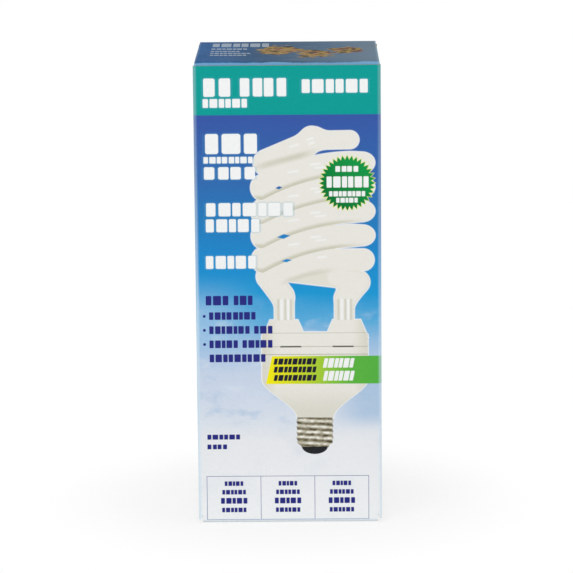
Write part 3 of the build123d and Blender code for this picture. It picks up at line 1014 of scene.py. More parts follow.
# middle, half length and half height of each chink between passes where the sky shows
sky_gaps = [(-4.7, 184.9, 1.9, 0.9), (-2.4, 158.4, 3.6, 1.3), (-0.9, 145.2, 2.9, 0.9)]


def lay_tube(paint, ground, x, z, body):
    """The pictured tube over a ground colour: a white glow round the lamp's silhouette, then
    the back pass, the front passes with a shaded underside, and small streaks of light."""
    pile, up = passes(x, z)
    over_top, lowest = top_pass(x, z), low_pass(x, z)
    back = stroke(x, z, (-2.0, 139.8), (33.0, 135.4), 5.8)
    feet = {-2.4: left_foot(x, z), 30.0: right_foot(x, z)}
    between = bar(x, z, lamp_x - 27.0, lamp_x + 12.0, 139.0, 196.0)
    outline = any_of([pile, over_top, lowest, back, body, between, *feet.values()])
    colour = paint.over(ground, (outline - 0.5).inside(0.3), paper_white)
    colour = paint.over(colour, outline.inside(), back_tone)

    for middle, foot in feet.items():
        colour = paint.over(colour, (foot + 0.6).inside(0.9), glass_tone)
        dark = any_of([abs(x - middle - side) - 0.5 for side in (-3.2, 0.6, 3.6)])
        light = any_of([abs(x - middle - side) - 0.65 for side in (-1.4, 2.1)])
        below = (z - 124.0).most(foot)
        colour = paint.over(colour, dark.most(below).inside(0.5) * 0.8, shade_tone)
        colour = paint.over(colour, light.most(below).inside(0.4), paper_white)
    for shape in (lowest, pile, over_top):
        colour = paint.over(colour, shape.inside(), glass_tone)
    soft = paint.noise(paint.vector(x * 0.4, z), 0.12, 2.0) * 0.5 + 0.62
    to_right = paint.ramp(47.0, 24.0, x)
    under = paint.ramp(-3.4, -5.9, up) * to_right * pile.inside()
    top_under = paint.ramp(3.0, 0.0, abs(z - 200.4 - x * 0.26)) * paint.ramp(20.0, 4.0, x)
    top_under = top_under * paint.ramp(-21.0, -10.0, x) * 0.85
    low_under = paint.ramp(2.4, 0.0, abs(z - 134.4 - x * 0.38 + x * x * 0.006))
    low_under = low_under * paint.ramp(30.0, 12.0, x) * paint.ramp(-6.0, 2.0, x) * 0.6
    colour = paint.over(colour, under.most(top_under).most(low_under) * soft, shade_tone)
    streaks = [stroke(x, up, (0.5, 1.8), (5.5, 0.7), 0.42),
               stroke(x, up, (12.5, 2.2), (17.0, 1.6), 0.4),
               stroke(x, up, (15.0, -0.2), (20.0, -0.8), 0.36)]
    colour = paint.over(colour, any_of(streaks).inside(0.5) * pile.inside(), paper_white)
    streaks = [((1.6, 207.0), (5.6, 208.2)), ((10.6, 210.8), (13.6, 211.6)),
               ((11.6, 208.4), (14.2, 209.4)), ((16.0, 146.8), (20.0, 147.2))]
    streaks = any_of(stroke(x, z, start, end, 0.42) for start, end in streaks)
    colour = paint.over(colour, streaks.inside(0.5), paper_white)
    for gap_x, gap_z, half_long, half_high in sky_gaps:
        gap = abs(x - gap_x) / half_long + abs(z - gap_z + (x - gap_x) * -0.12) / half_high - 1.0
        colour = paint.over(colour, gap.inside(), ground)
    return colour


print("The tube lies under the case")

# %% Laying the case and cap on the tube
def lay_case(paint, colour, x, z, body):
    """The pictured case with shaded sides, seams and vent slots, and the cap with its tip."""
    colour = paint.over(colour, body.inside(), glass_tone)
    side_shade = paint.ramp(19.0, 29.0, abs(x - case_x)) * 0.5
    bowl_shade = paint.ramp(78.0, 60.0, z) * 0.45
    colour = paint.over(colour, side_shade.most(bowl_shade) * body.inside(), shade_tone)
    seams = (abs(z - 97.9) - 0.18).least(abs(z - 93.6) - 0.22).least(abs(z - 105.4) - 0.12)
    colour = paint.over(colour, seams.inside(0.1) * body.inside(), srgb(186, 182, 164))
    slots = bar(abs(x - 15.1), z, 8.5, 19.8, 97.5, 98.3)
    colour = paint.over(colour, slots.inside(), srgb(84, 86, 76))

    cap = printed_cap(x, z)
    groove = paint.math("SINE", z * (2 * pi / printed_pitch) + (x - case_x) * 0.12) * 0.5 + 0.5
    glare = paint.noise(paint.vector(x * 0.55, z), 0.55, 1.0)
    metal = paint.gradient(groove * 0.5 + glare * 0.75, [
        (0.28, srgb(74, 66, 48)), (0.52, srgb(150, 143, 120)), (0.74, srgb(192, 187, 168)),
        (0.98, srgb(250, 248, 240))])
    colour = paint.over(colour, cap.inside(), metal)
    tip = (((x - 13.6) * 0.62).far(z - 42.6) - 4.4).most(z - 42.3)
    return paint.over(colour, tip.inside(), srgb(34, 36, 38))


def lay_lamp(paint, ground, x, z):
    """The whole picture of the lamp over a ground colour."""
    body = case(x, z).least(collars(x, z))
    return lay_case(paint, lay_tube(paint, ground, x, z, body), x, z, body)


print("Lamp picture ready")

# %% The burst
burst_at = (31.9, 187.2)
burst_inner, burst_outer = 12.6, 14.9
burst_spikes = 36


def lay_burst(paint, colour, x, z):
    """A round burst: its edge swings between two radii, as a zigzag of the angle."""
    dx, dz = x - burst_at[0], z - burst_at[1]
    angle = paint.math("ARCTAN2", dz, dx)
    zigzag = abs(paint.math("FRACT", angle * (burst_spikes / (2 * pi)) + burst_spikes) - 0.5) * 2
    edge = dx.far(dz) - burst_inner - zigzag * (burst_outer - burst_inner)
    colour = paint.over(colour, (edge - 0.55).inside(0.45), srgb(222, 234, 120))
    green = paint.gradient(dx + dz, [(-14.0, srgb(0, 120, 52)), (14.0, srgb(10, 150, 70))])
    colour = paint.over(colour, edge.inside(), green)
    lines = [(25.4, 38.0, 193.3, 196.4, 3.1), (20.6, 43.6, 184.8, 190.8, 3.8),
             (22.0, 41.6, 180.0, 182.8, 2.4), (25.8, 37.6, 176.6, 179.2, 2.3)]
    lines = any_of(words(x, z, *line) for line in lines)
    return paint.over(colour, lines.inside(), paper_white)


print("The burst has", burst_spikes, "points")

# %% The two-coloured band
band_left, band_low, band_high = -12.6, 77.3, 92.7


def lay_band(paint, colour, x, z):
    """A band with a slanted left end, yellow there and green at the right fold."""
    slant = x - (z - band_low) * 0.22
    middle, half = (band_low + band_high) / 2, (band_high - band_low) / 2
    shape = (abs(z - middle) - half).most(band_left - slant)
    tint = paint.gradient(x, [
        (-12.0, srgb(250, 238, 10)), (6.0, srgb(206, 220, 40)), (22.0, srgb(140, 198, 62)),
        (34.0, srgb(92, 181, 64)), (50.0, srgb(84, 178, 68))])
    colour = paint.over(colour, shape.inside(), tint)
    for left, right, letter, ink, rows in (
            (-8.7, 14.4, 2.7, srgb(28, 28, 48), ((88.0, 91.4), (83.6, 86.9), (79.0, 82.3))),
            (18.0, 34.6, 3.0, paper_white, ((86.2, 91.4), (79.0, 84.4)))):
        lines = [words(x - (z - low) * 0.2, z, left, right, low, high, letter)
                 for low, high in rows]
        colour = paint.over(colour, any_of(lines).inside(), ink)
    return colour


print("The band is", round(band_high - band_low, 1), "mm high")

# %% The table
table_left, table_right, table_low, table_high = -45.3, 42.8, 1.7, 26.0
cell = (table_right - table_left) / 3


def lay_table(paint, colour, x, z):
    """A thin frame of three cells, each with the same four short lines."""
    frame = bar(x, z, table_left, table_right, table_low, table_high)
    in_cell = paint.math("FLOORED_MODULO", x - table_left, cell) - cell / 2
    divider = (cell / 2 - abs(in_cell) - 0.16).most(frame)
    rules = (abs(frame) - 0.16).least(divider)
    colour = paint.over(colour, rules.inside(0.1), srgb(120, 128, 170))
    lines = [(5.2, 20.6, 23.2, 2.0), (6.6, 15.8, 18.4, 2.2), (7.4, 10.6, 13.9, 2.9),
             (6.8, 5.8, 8.4, 2.2)]
    lines = any_of(words(in_cell, z, -half, half, *rest) for half, *rest in lines)
    return paint.over(colour, lines.most(frame).inside(), navy)


print("Table cells are", round(cell, 1), "mm wide")

# %% [markdown]
# ## The layers of the print
# A printer lays flat inks over one another, and a Mix node with a mask does the same. From
# below come the sky and header, the picture, blocks, burst, band and table, then the lid with a
# painted highlight along its front fold, and last the folds, where the coating is rubbed and
# paler and a painted highlight lies on each rounded fold. The four panels follow each other on
# the flat blank, so one sky runs round the carton, as it does on the real sheet.

# %% The sky
pitch_mm = panel_pitch / mm
top_mm = top / mm
lid_from = (top - fold_radius) / mm + 1.2  # on the blank, where the lid starts and ends
lid_to = lid_from + 98.5


def repeated(paint, u, length):
    """The place along the blank, counted again from the middle of every such length."""
    return paint.math("FLOORED_MODULO", u + length / 2, length) - length / 2


def lay_sky(paint, u, v):
    """A gradient up the carton, stirred by noise, with pale clouds low down and to the left."""
    grain = paint.vector(u, v)
    drift = paint.noise(grain, 0.035, 3.0, 0.55) - 0.5
    billow = paint.noise(paint.vector(u * 0.55, v), 0.075, 4.0, 0.6) - 0.5
    colour = paint.gradient(v + drift * 10.0, sky_stops)
    cloud = paint.ramp(0.02, 0.22, billow)
    cloud = cloud * paint.ramp(60.0, 75.0, v) * paint.ramp(128.0, 98.0, v)
    x = repeated(paint, u, pitch_mm)
    haze = paint.ramp(-8.0, -50.0, x) * paint.ramp(92.0, 108.0, v) * paint.ramp(140.0, 112.0, v)
    colour = paint.over(colour, haze * 0.45, srgb(196, 218, 242))
    colour = paint.over(colour, cloud * 0.55, srgb(228, 235, 244))
    bluer = paint.ramp(18.0, 42.0, x).most(paint.ramp(-0.02, -0.16, billow) * 0.6)
    bluer = bluer * paint.ramp(50.0, 62.0, v) * paint.ramp(92.0, 78.0, v)
    colour = paint.over(colour, bluer * 0.75, srgb(164, 194, 225))
    low_cloud = paint.ramp(0.0, 0.25, drift)
    low_cloud = low_cloud * paint.ramp(10.0, 30.0, v) * paint.ramp(75.0, 55.0, v)
    return paint.over(colour, low_cloud * 0.5, srgb(206, 218, 234))


print("A panel is", round(pitch_mm, 2), "mm from fold to fold")

# %% Front and side panels
def lay_front(paint, colour, x, z):
    """The front's picture, blocks, burst, band and table. The back panel repeats it."""
    colour = lay_lamp(paint, colour, x, z)
    white = any_of(words(x, z, *line) for line in white_words)
    colour = paint.over(colour, (white - 0.5).inside(0.4) * 0.35, srgb(90, 170, 205))
    colour = paint.over(colour, white.inside(), paper_white)
    dots = [(x - dot_x).far(z - dot_z) - 0.8 for dot_x, dot_z in bullets]
    dark = any_of(dots + [words(x, z, *line) for line in navy_words])
    colour = paint.over(colour, dark.inside(), navy)
    colour = lay_burst(paint, colour, x, z)
    colour = lay_band(paint, colour, x, z)
    return lay_table(paint, colour, x, z)


def lay_side(paint, colour, x, z):
    """A side panel: a heading, two paragraphs of small blocks and a panel of upright stripes.
    Every row of a paragraph ends at its own place, and its words part at places of their own."""
    row_pitch = 4.0
    row = paint.math("FLOOR", z / row_pitch)
    in_row = z - row * row_pitch
    ragged = paint.math("SINE", row * 2.4) * 5.0
    text = words(x, in_row, -42.0, 42.0, 1.2, 2.9, 1.7).most(x - 35.0 - ragged)
    beat = paint.math("FRACT", (x + row * 13.7 + ragged) * 0.105)
    text = text.most((0.13 - beat) * 9.0)
    upper = text.most(bar(x, z, -43.0, 43.0, 152.0, 184.0))
    lower = text.most(bar(x, z, -43.0, 43.0, 84.0, 112.0))
    heading = any_of([words(x, z, -42.0, 20.0, 234.2, 244.0, 7.0, (-14.0,)),
                      words(x, z, -42.0, 6.0, 192.0, 199.0, 6.0, (-17.0,))])
    colour = paint.over(colour, upper.least(heading).inside(), paper_white)
    colour = paint.over(colour, lower.inside(), navy)
    panel = bar(x, z, 8.0, 42.0, 12.0, 36.0)
    colour = paint.over(colour, panel.inside(), srgb(252, 252, 252))
    waves = [paint.math("SINE", x * pace + start)
             for pace, start in ((3.1, 0.0), (7.3, 1.3), (12.1, 0.7))]
    stripes = paint.ramp(0.1, 0.3, waves[0] + waves[1] + waves[2]) * (panel + 3.0).inside()
    return paint.over(colour, stripes, srgb(24, 24, 30))


print("Front and sides ready")

# %% The lid's print
def lay_lid(paint, colour, across, deep, grain):
    """The lid: a dull blue with haze, three loose patches of warm blots, and pale blocks."""
    drift = paint.noise(grain, 0.03, 3.0) * 40.0 - 20.0
    base = paint.gradient(across + drift, [
        (-50.0, srgb(14, 90, 152)), (-10.0, srgb(24, 76, 116)), (50.0, srgb(102, 128, 150))])
    haze = paint.noise(paint.vector(across * 0.25, deep), 0.11, 3.0, 0.6)
    haze = paint.ramp(0.46, 0.66, haze) * paint.ramp(-20.0, 20.0, across)
    base = paint.over(base, haze * 0.55, srgb(104, 118, 118))
    hue = paint.noise(grain, 0.11, 3.0, 0.6)
    blots = paint.gradient(hue, [
        (0.36, srgb(18, 34, 26)), (0.42, srgb(92, 60, 34)), (0.46, srgb(156, 136, 20)),
        (0.51, srgb(166, 136, 90)), (0.56, srgb(134, 60, 26)), (0.63, srgb(30, 62, 52))])
    lumps = any_of((across - middle).far((deep - depth) * 0.6) - reach
                   for middle, depth, reach in lid_lumps)
    ragged = paint.noise(grain, 0.09, 4.0, 0.65) * 26.0 - 13.0
    spread = paint.ramp(0.6, -0.6, lumps + ragged)
    base = paint.over(base, spread, blots)
    lines = any_of(words(across, deep, *line) for line in lid_words)
    base = paint.over(base, lines.inside() * 0.7, srgb(186, 198, 208))
    on_lid = paint.ramp(-0.4, 0.4, deep) * paint.ramp(51.0, 50.0, abs(across))
    return paint.over(colour, on_lid, base), on_lid


print("The lid's print runs from", round(lid_from, 1), "to", round(lid_to, 1), "mm")

# %% All of the print
def printed_card():
    """Coated print: sky and header on all four panels, the pictures, the lid, and wear at the
    folds with painted highlights.
    """
    paint = Paint("printed_card")
    u, v = paint.blank_place()
    grain = paint.vector(u, v)
    colour = paint.over(lay_sky(paint, u, v), (header_foot - v).inside(0.2), teal)
    x = repeated(paint, u, 2 * pitch_mm)
    side = lay_side(paint, colour, repeated(paint, u - pitch_mm, 2 * pitch_mm), v)
    front = lay_front(paint, colour, x, v)
    past_fold = 1.0  # the front's print runs this far round the folds
    colour = paint.over(side, (abs(x) - pitch_mm / 2 - past_fold).inside(0.05), front)
    across = 2 * pitch_mm - u
    colour, on_lid = lay_lid(paint, colour, across, v - lid_from, grain)
    # Painted highlight along the lid's rounded front fold: a light blue band with a ragged edge.
    ragged = paint.noise(paint.vector(u, 0.0), 0.055, 3.0, 0.6) * 7.0 - 3.5
    lid_fold_highlight = paint.ramp(2.3, 0.9, abs(v - lid_to + ragged * 0.35) - ragged * 0.3)
    lid_fold_highlight = lid_fold_highlight * paint.ramp(51.0, 50.0, abs(across))
    colour = paint.over(colour, lid_fold_highlight * 0.85, srgb(128, 180, 222))

    # Paler along every upright fold: rubbed coating, and a painted highlight on the rounded fold,
    # stronger to the left and lower down.
    from_fold = pitch_mm / 2 - abs(repeated(paint, u, pitch_mm))
    rub = paint.noise(grain, 0.9, 3.0, 0.6)
    paler_down = paint.ramp(236.0, 80.0, v) * 0.44 + 0.24
    paler_left = paint.ramp(20.0, -20.0, x) * 0.3 + 0.7
    upright = paint.ramp(1.8, 0.2, from_fold + rub * 0.3 - 0.15) * paler_down * paler_left
    # The same rubbed coating and painted highlight along the lid's back fold and the foot fold.
    level_fold_rub_and_highlight = paint.ramp(1.8, 0.3, abs(v - (top_mm + 0.6))) * 0.4
    foot_fold_rub_and_highlight = paint.ramp(1.6, 0.2, abs(v - 1.0)) * 0.35
    colour = paint.over(colour, upright.most(level_fold_rub_and_highlight).most(foot_fold_rub_and_highlight), srgb(214, 236, 250))
    flaps = paint.ramp(top_mm + 1.5, top_mm + 2.5, v).least(1.0 - on_lid)
    flaps = flaps.least(paint.ramp(52.0, 60.0, abs(across)))
    colour = paint.over(colour, flaps, srgb(238, 237, 232))

    flute = paint.math("SINE", u * (4 * pi / flute_pitch))
    relief = paint.noise(grain, 0.35, 4.0, 0.6) + flute * 0.03 + paint.noise(grain, 3.5, 2.0) * 0.2
    gloss = paint.noise(grain, 0.06, 2.0) * 0.16 + 0.34
    return paint.finish(colour, gloss, relief, 0.00035, specular_ior_level=0.1)


card_print = printed_card()
print("Nodes in the print:", len(card_print.node_tree.nodes))

# %% [markdown]
# ## The card's bare side and its cut edges
# Inside, the carton is plain recycled board: warm grey with short fibres and the faint stripes
# of the flutes under the liner. A cut across the flutes shows the wavy layer between the two
# liners. The strip along each cut has its own map, along and across, so the wave is a formula.

# %% Bare card and cut edge
def bare_card():
    """Grey board: short fibres laid mostly one way, specks, and stripes over the flutes."""
    paint = Paint("bare_card")
    u, v = paint.blank_place()
    fibre = paint.noise(paint.vector(u * 2.2, v * 0.7), 1.6, 5.0, 0.7)
    mottle = paint.noise(paint.vector(u, v), 0.12, 3.0)
    colour = paint.gradient(fibre * 0.85 + mottle * 0.15, [
        (0.3, srgb(156, 145, 127)), (0.5, srgb(180, 169, 150)), (0.7, srgb(201, 192, 174))])
    specks = paint.ramp(0.70, 0.76, paint.noise(paint.vector(u, v), 1.3, 1.0))
    colour = paint.over(colour, specks * 0.6, srgb(104, 94, 82))
    stripes = paint.math("SINE", u * (2 * pi / flute_pitch))
    return paint.finish(
        colour, 0.86, fibre * 0.5 + stripes * 0.12, 0.0002, specular_ior_level=0.15)


def cut_card():
    """The cut edge: two pale liners, and between them a wave, with painted shade in the open
    flutes.
    """
    paint = Paint("cut_card")
    along, across = paint.blank_place()
    wave = paint.math("SINE", along * (2 * pi / flute_pitch)) * 0.42 + 0.75
    medium = (abs(across - wave) - 0.13).inside(0.08)
    liners = (0.55 - abs(across - 0.75)).inside(0.06)
    fuzz = paint.noise(paint.vector(along, across), 2.4, 4.0, 0.7)
    paper = paint.gradient(fuzz, [(0.3, srgb(178, 167, 146)), (0.7, srgb(220, 210, 190))])
    # Painted shade: the open flutes between the liners are coloured dark.
    open_flute_shade = paint.gradient(fuzz, [(0.3, srgb(104, 93, 79)), (0.7, srgb(136, 124, 107))])
    solid_part = medium.most(liners)
    colour = paint.over(open_flute_shade, solid_part, paper)
    return paint.finish(colour, 0.9, solid_part + fuzz * 0.3, 0.0003)


card_finishes = [card_print, bare_card(), cut_card()]
print("Card finishes:", [material.name for material in card_finishes])

# %% [markdown]
# ## The two folded pieces
# Each sheet becomes a mesh that stands for a part of the solid model. The lid is seen at a low
# angle, where even a faint sheen mirrors the white room and pales the print. The real lid keeps
# its blue there, so it gets a copy of the print with almost no sheen.

# %% The folded carton and its lid
carton_sheet = tube.make("carton_sheet", card_finishes)
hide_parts("carton")
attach(carton_sheet, "box")
lid_print = card_print.copy()
lid_print.name = "printed_lid"
for node in lid_print.node_tree.nodes:
    if node.type == "BSDF_PRINCIPLED":
        node.inputs["Specular IOR Level"].default_value = 0.01
lid_sheet = lid.make("lid_sheet", [lid_print, *card_finishes[1:]])
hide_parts("lid")
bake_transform(lid_sheet)
print("Quads:", len(carton_sheet.data.polygons), "and", len(lid_sheet.data.polygons))

# %% [markdown]
# ## The lamp's glass
# The tube is drawn glass bent round a mandrel while it is soft: two arms leave the case, swing
# out over an elbow, climb as a double helix and meet on the axis. A curve with a bevel would
# twist where the path turns upwards. Here a circle is carried along the path, and one fixed
# slanted direction, which the path never follows, keeps it from twisting.

# %% The tube's path
lamp_foot = 2 * card  # the lamp stands on the two bottom flaps
tube_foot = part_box("lamp_tube")[0].z
tube_radius = 7.75 * mm
leg_offset = 21.9 * mm
elbow_radius = 12.0 * mm
spiral_radius = 37.75 * mm
spiral_low = lamp_foot + 121.0 * mm
spiral_top = lamp_foot + 233.25 * mm
climb = 2 * 17.4 * mm / (2 * pi)  # rise of one arm for each radian
elbow_end = hypot(leg_offset, elbow_radius)
elbow_angle = atan2(elbow_radius, leg_offset)
opening = 2 * (spiral_radius - elbow_end) / (elbow_end * tan(elbow_angle))
closing = radians(150)
even = (spiral_top - spiral_low) / climb - (opening + closing) / 2
leg_steps, elbow_steps, spiral_steps = 9, 13, 240


def spiral(angle):
    """The centre line past the elbow. Opening: the radius grows to the full one as 1 minus a
    square, and the rise starts as a square. Even: a helix. Closing: the radius falls as a
    cosine and the rise levels out as 1 minus a square."""
    first = np.clip(angle / opening, 0, 1)
    last = np.clip((angle - opening - even) / closing, 0, 1)
    radius = spiral_radius - (spiral_radius - elbow_end) * (1 - first) ** 2
    radius = radius * np.cos(last * pi / 2)
    rise = climb * (opening / 2 * first**2 + np.clip(angle - opening, 0, even)
                    + closing / 2 * (1 - (1 - last) ** 2))
    turned = elbow_angle + angle
    return np.stack([radius * np.cos(turned), radius * np.sin(turned), spiral_low + rise], -1)


bend = np.linspace(0, pi / 2, elbow_steps)
leg = np.linspace(tube_foot, spiral_low - elbow_radius, leg_steps + 1)[:-1]
arm = np.concatenate([
    np.stack([leg_offset + 0 * leg, 0 * leg, leg], -1),
    np.stack([leg_offset + 0 * bend, elbow_radius * (1 - np.cos(bend)),
              spiral_low - elbow_radius * (1 - np.sin(bend))], -1),
    spiral(np.linspace(0, opening + even + closing, spiral_steps + 1)[1:])])
path = np.concatenate([arm, (arm * (-1, -1, 1))[-2::-1]])
print("Path points:", len(path), "and length",
      round(float(np.linalg.norm(np.diff(path, axis=0), axis=1).sum()), 3), "m")

# %% A tube along a path
def tube_rings(path, radii, fixed, steps):
    """A circle carried along a path, as rings of points. At each point the two directions
    across the path are fixed x ahead and ahead x that, each made a unit long."""
    ahead = np.gradient(path, axis=0)
    ahead /= np.linalg.norm(ahead, axis=1, keepdims=True)
    side = np.cross(fixed, ahead)
    side /= np.linalg.norm(side, axis=1, keepdims=True)
    over = np.cross(ahead, side)
    turn = np.linspace(0, 2 * pi, steps, endpoint=False)
    ring = side[:, None] * np.cos(turn)[:, None] + over[:, None] * np.sin(turn)[:, None]
    return path[:, None] + ring * radii[:, None, None]


def rings_mesh(name, points, material, sharp=sharp_turn, joined=False):
    """Strips of quads between rings of points. The last ring is joined to the first, or else
    a polygon closes each end."""
    rows, steps = points.shape[:2]
    grid = np.arange(rows * steps).reshape(rows, steps)
    above = np.roll(grid, -1, axis=0)
    quads = np.stack([grid, np.roll(grid, -1, 1), np.roll(above, -1, 1), above], -1)
    if not joined:
        quads = quads[:-1]
    faces = quads.reshape(-1, 4).tolist()
    if not joined:
        faces += [grid[0, ::-1].tolist(), grid[-1].tolist()]
    mesh = bpy.data.meshes.new(name)
    mesh.from_pydata(points.reshape(-1, 3), [], faces)
    mesh.materials.append(material)
    return finished(name, mesh, sharp)


print("A ring becomes a strip of quads")

# %% [markdown]
# The glass is clear, and the white is phosphor powder washed down its inside. The finish is
# therefore a chalky white under a smooth clear gloss. The white is a little darker and warmer
# towards the lower end, and hot bending leaves a faint ripple along the glass.

# %% Phosphor glass
tip_rings, tip_reach = 6, 2.5 * mm
glass_steps = 28
slanted = np.array([0.62, -0.35, 0.71])


def phosphor_glass():
    """Chalk white, darker and warmer towards the lower end, under clear rippled glass."""
    paint = Paint("phosphor_glass")
    x, y, z = paint.object_place()
    wash = paint.noise(paint.vector(x, y, z * 0.4), 0.16, 3.0, 0.6)
    colour = paint.gradient(wash, [
        (0.3, srgb(236, 234, 227)), (0.55, srgb(241, 240, 235)), (0.75, srgb(235, 233, 225))])
    low = paint.ramp(118.0, 84.0, z)
    colour = paint.over(colour, low * 0.6, srgb(216, 212, 199))
    specks = paint.ramp(0.74, 0.8, paint.noise(paint.vector(x, y, z), 1.9, 0.0))
    colour = paint.over(colour, specks * 0.2, srgb(190, 186, 174))
    ripple = paint.noise(paint.vector(x, y, z), 0.06, 1.0)
    gloss = paint.noise(paint.vector(x, y, z), 0.05, 2.0) * 0.1 + 0.1
    return paint.finish(colour, gloss, ripple, 0.0005, coat_weight=0.6, coat_roughness=0.04)


print("The glass is worked out in", glass_steps, "steps round")

# %% The glass tube, with its legs' ends drawn in
tip_angle = np.linspace(pi / 2, 0, tip_rings)
glass_radii = np.full(len(path), tube_radius)
glass_radii[:tip_rings] = tube_radius * (0.35 + 0.65 * np.cos(tip_angle))
glass_radii[-tip_rings:] = glass_radii[tip_rings - 1::-1]
round_end = np.linspace(0, tip_reach, tip_rings)
path[:tip_rings, 2] = tube_foot + round_end * np.sin(pi / 2 - tip_angle) ** 0.5
path[-tip_rings:, 2] = path[tip_rings - 1::-1, 2]
glass_rings = tube_rings(path, glass_radii, slanted / np.linalg.norm(slanted), glass_steps)
glass_tube = rings_mesh("glass_tube", glass_rings, phosphor_glass())
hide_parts("lamp_tube")
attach(glass_tube, "box")
print("Glass quads:", len(glass_tube.data.polygons))

# %% [markdown]
# ## The screw cap
# The cap is brass or aluminium sheet, rolled between two dies that press a round thread into
# it. The solid model has rings in its place; here the radius follows a true helix, and a punch
# mark holds the cap on the case's neck.

# %% Screw cap surface
cap_low, cap_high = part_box("screw_cap")
cap_radius = cap_high.x
cap_skin = 0.4 * mm
cap_lip = 1.6 * mm
thread_pitch = 3.63 * mm
thread_depth = 1.1 * mm
thread_turns = 4
thread_root = cap_radius - thread_depth
thread_foot = cap_low.z + cap_lip
punches = 4
dent_radius, dent_depth, dent_drop = 0.9 * mm, 0.3 * mm, 1.7 * mm
bead = 0.5 * mm  # the lip's rounding
cap_steps, cap_rows = 96, 90


def cap_shell():
    """Rings from the inside of the lip, up the outside and down the inside. Outside, the radius
    is the root plus the depth times a raised cosine of height over pitch minus angle, which
    fades in and out over half a pitch. Four shallow dents near the top are Gaussian bells."""
    turn = np.linspace(0, 2 * pi, cap_steps, endpoint=False)
    z = np.linspace(cap_low.z + bead, cap_high.z, cap_rows)
    fade_in = np.clip((z - thread_foot) / (0.5 * thread_pitch), 0, 1)
    thread_top = thread_foot + thread_turns * thread_pitch
    fade_out = np.clip((thread_top - z) / (0.5 * thread_pitch), 0, 1)
    phase = (z[:, None] - thread_foot) / thread_pitch - turn / (2 * pi)
    crest = (0.5 - 0.5 * np.cos(2 * pi * phase)) * (fade_in * fade_out)[:, None]
    wrapped = ((turn * punches / (2 * pi)) % 1 - 0.5) * 2 * pi / punches * cap_radius
    drop = z[:, None] - cap_high.z + dent_drop
    dent = dent_depth * np.exp(-(wrapped / dent_radius) ** 2 - (drop / dent_radius) ** 2)
    outside = thread_root + thread_depth * crest - dent
    inner = np.minimum(outside, thread_root - dent)[::-6] - cap_skin
    lip, edge = thread_root - cap_lip + 0 * turn, thread_root - bead + 0 * turn
    radii = np.concatenate([[lip, edge], outside, inner, [lip]])
    heights = np.concatenate([[cap_low.z] * 2, z, z[::-6], [cap_low.z + cap_skin]])
    return np.stack([radii * np.cos(turn), radii * np.sin(turn), heights[:, None] + 0 * radii], -1)


cap_rings = cap_shell()
print("Rings of the cap:", len(cap_rings))

# %% [markdown]
# Nickel-plated metal is bright, but the rolls leave fine rings and handling leaves dull spots.

# %% Cap metal
def cap_metal():
    """Bright warm nickel, with fine rings round the axis, dull spots and painted shade in the
    grooves.
    """
    paint = Paint("cap_metal")
    x, y, z = paint.object_place()
    rings = paint.noise(paint.vector(0.0, 0.0, z), 9.0, 2.0)
    spots = paint.noise(paint.vector(x, y, z), 0.35, 4.0, 0.6)
    # Painted shade in the thread's grooves, where the radius falls towards the root.
    groove = paint.ramp(13.15, 12.1, x.far(y))
    colour = paint.gradient(spots, [
        (0.3, srgb(200, 194, 180)), (0.6, srgb(222, 218, 207)), (0.8, srgb(186, 178, 160))])
    colour = paint.over(colour, groove * 0.35, srgb(148, 140, 124))
    gloss = spots * 0.3 + rings * 0.12 + 0.06
    return paint.finish(colour, gloss, rings * 0.3 + spots, 0.00008, metallic=1.0)


cap_sheet = rings_mesh("cap_sheet", cap_rings, cap_metal(), radians(50), joined=True)
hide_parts("screw_cap")
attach(cap_sheet, "box")
print("Cap quads:", len(cap_sheet.data.polygons))

# %% [markdown]
# ## Finishes of the solid model's own parts
# The case, the board and what hangs under it keep the solid model's shapes, and each gets the
# finish of its real stuff: moulded plastic, laminate with copper tracks, ferrite, wound wire,
# a shrunk sleeve, dipped resin and so on. All patterns follow the place in the model.

# %% Plastic, laminate and ferrite
def white_plastic():
    """Moulded resin: warm white, a fine spark-eroded texture, and faint flow marks."""
    paint = Paint("white_plastic")
    x, y, z = paint.object_place()
    place = paint.vector(x, y, z)
    flow = paint.noise(paint.vector(x, y, z * 3.0), 0.05, 3.0, 0.6)
    colour = paint.gradient(flow, [(0.3, srgb(233, 231, 223)), (0.7, srgb(238, 237, 230))])
    scuffs = paint.ramp(0.66, 0.78, paint.noise(place, 0.4, 4.0, 0.7))
    colour = paint.over(colour, scuffs * 0.2, srgb(205, 203, 194))
    grain = paint.noise(place, 3.2, 3.0, 0.6)
    return paint.finish(colour, grain * 0.2 + 0.32, grain + flow * 0.5, 0.00006)


def board_laminate():
    """Tan paper laminate with a weave of fibres; copper tracks in lacquer on its underside."""
    paint = Paint("board_laminate")
    x, y, z = paint.object_place()
    fibre = paint.noise(paint.vector(x * 0.5, y * 3.0, z), 1.2, 4.0, 0.7)
    colour = paint.gradient(fibre, [(0.3, srgb(176, 146, 92)), (0.7, srgb(203, 174, 120))])
    winding = paint.noise(paint.vector(x, y), 0.09, 0.0) * 9.0
    track = abs(paint.math("FRACT", winding) - 0.5)
    copper = paint.ramp(0.16, 0.11, track) * paint.ramp(65.3, 65.1, z)
    colour = paint.over(colour, copper, srgb(184, 122, 70))
    return paint.finish(colour, fibre * 0.2 + 0.4, fibre * 0.4 + copper, 0.00006)


def ferrite():
    """Pressed and fired iron oxide: dark grey with fine light and dark grains."""
    paint = Paint("ferrite")
    x, y, z = paint.object_place()
    grain = paint.noise(paint.vector(x, y, z), 4.0, 3.0, 0.7)
    cloud = paint.noise(paint.vector(x, y, z), 0.3, 2.0)
    colour = paint.gradient(grain * 0.6 + cloud * 0.4, [
        (0.35, srgb(38, 38, 41)), (0.55, srgb(58, 58, 62)), (0.7, srgb(84, 84, 88))])
    return paint.finish(colour, grain * 0.3 + 0.42, grain, 0.00008)


finishes = {
    "ballast_case": white_plastic(), "circuit_board": board_laminate(), "choke_core": ferrite()}
finishes["ballast_cover"] = finishes["ballast_case"]
finishes["toroid"] = finishes["choke_core"]
print("So far:", sorted(finishes))

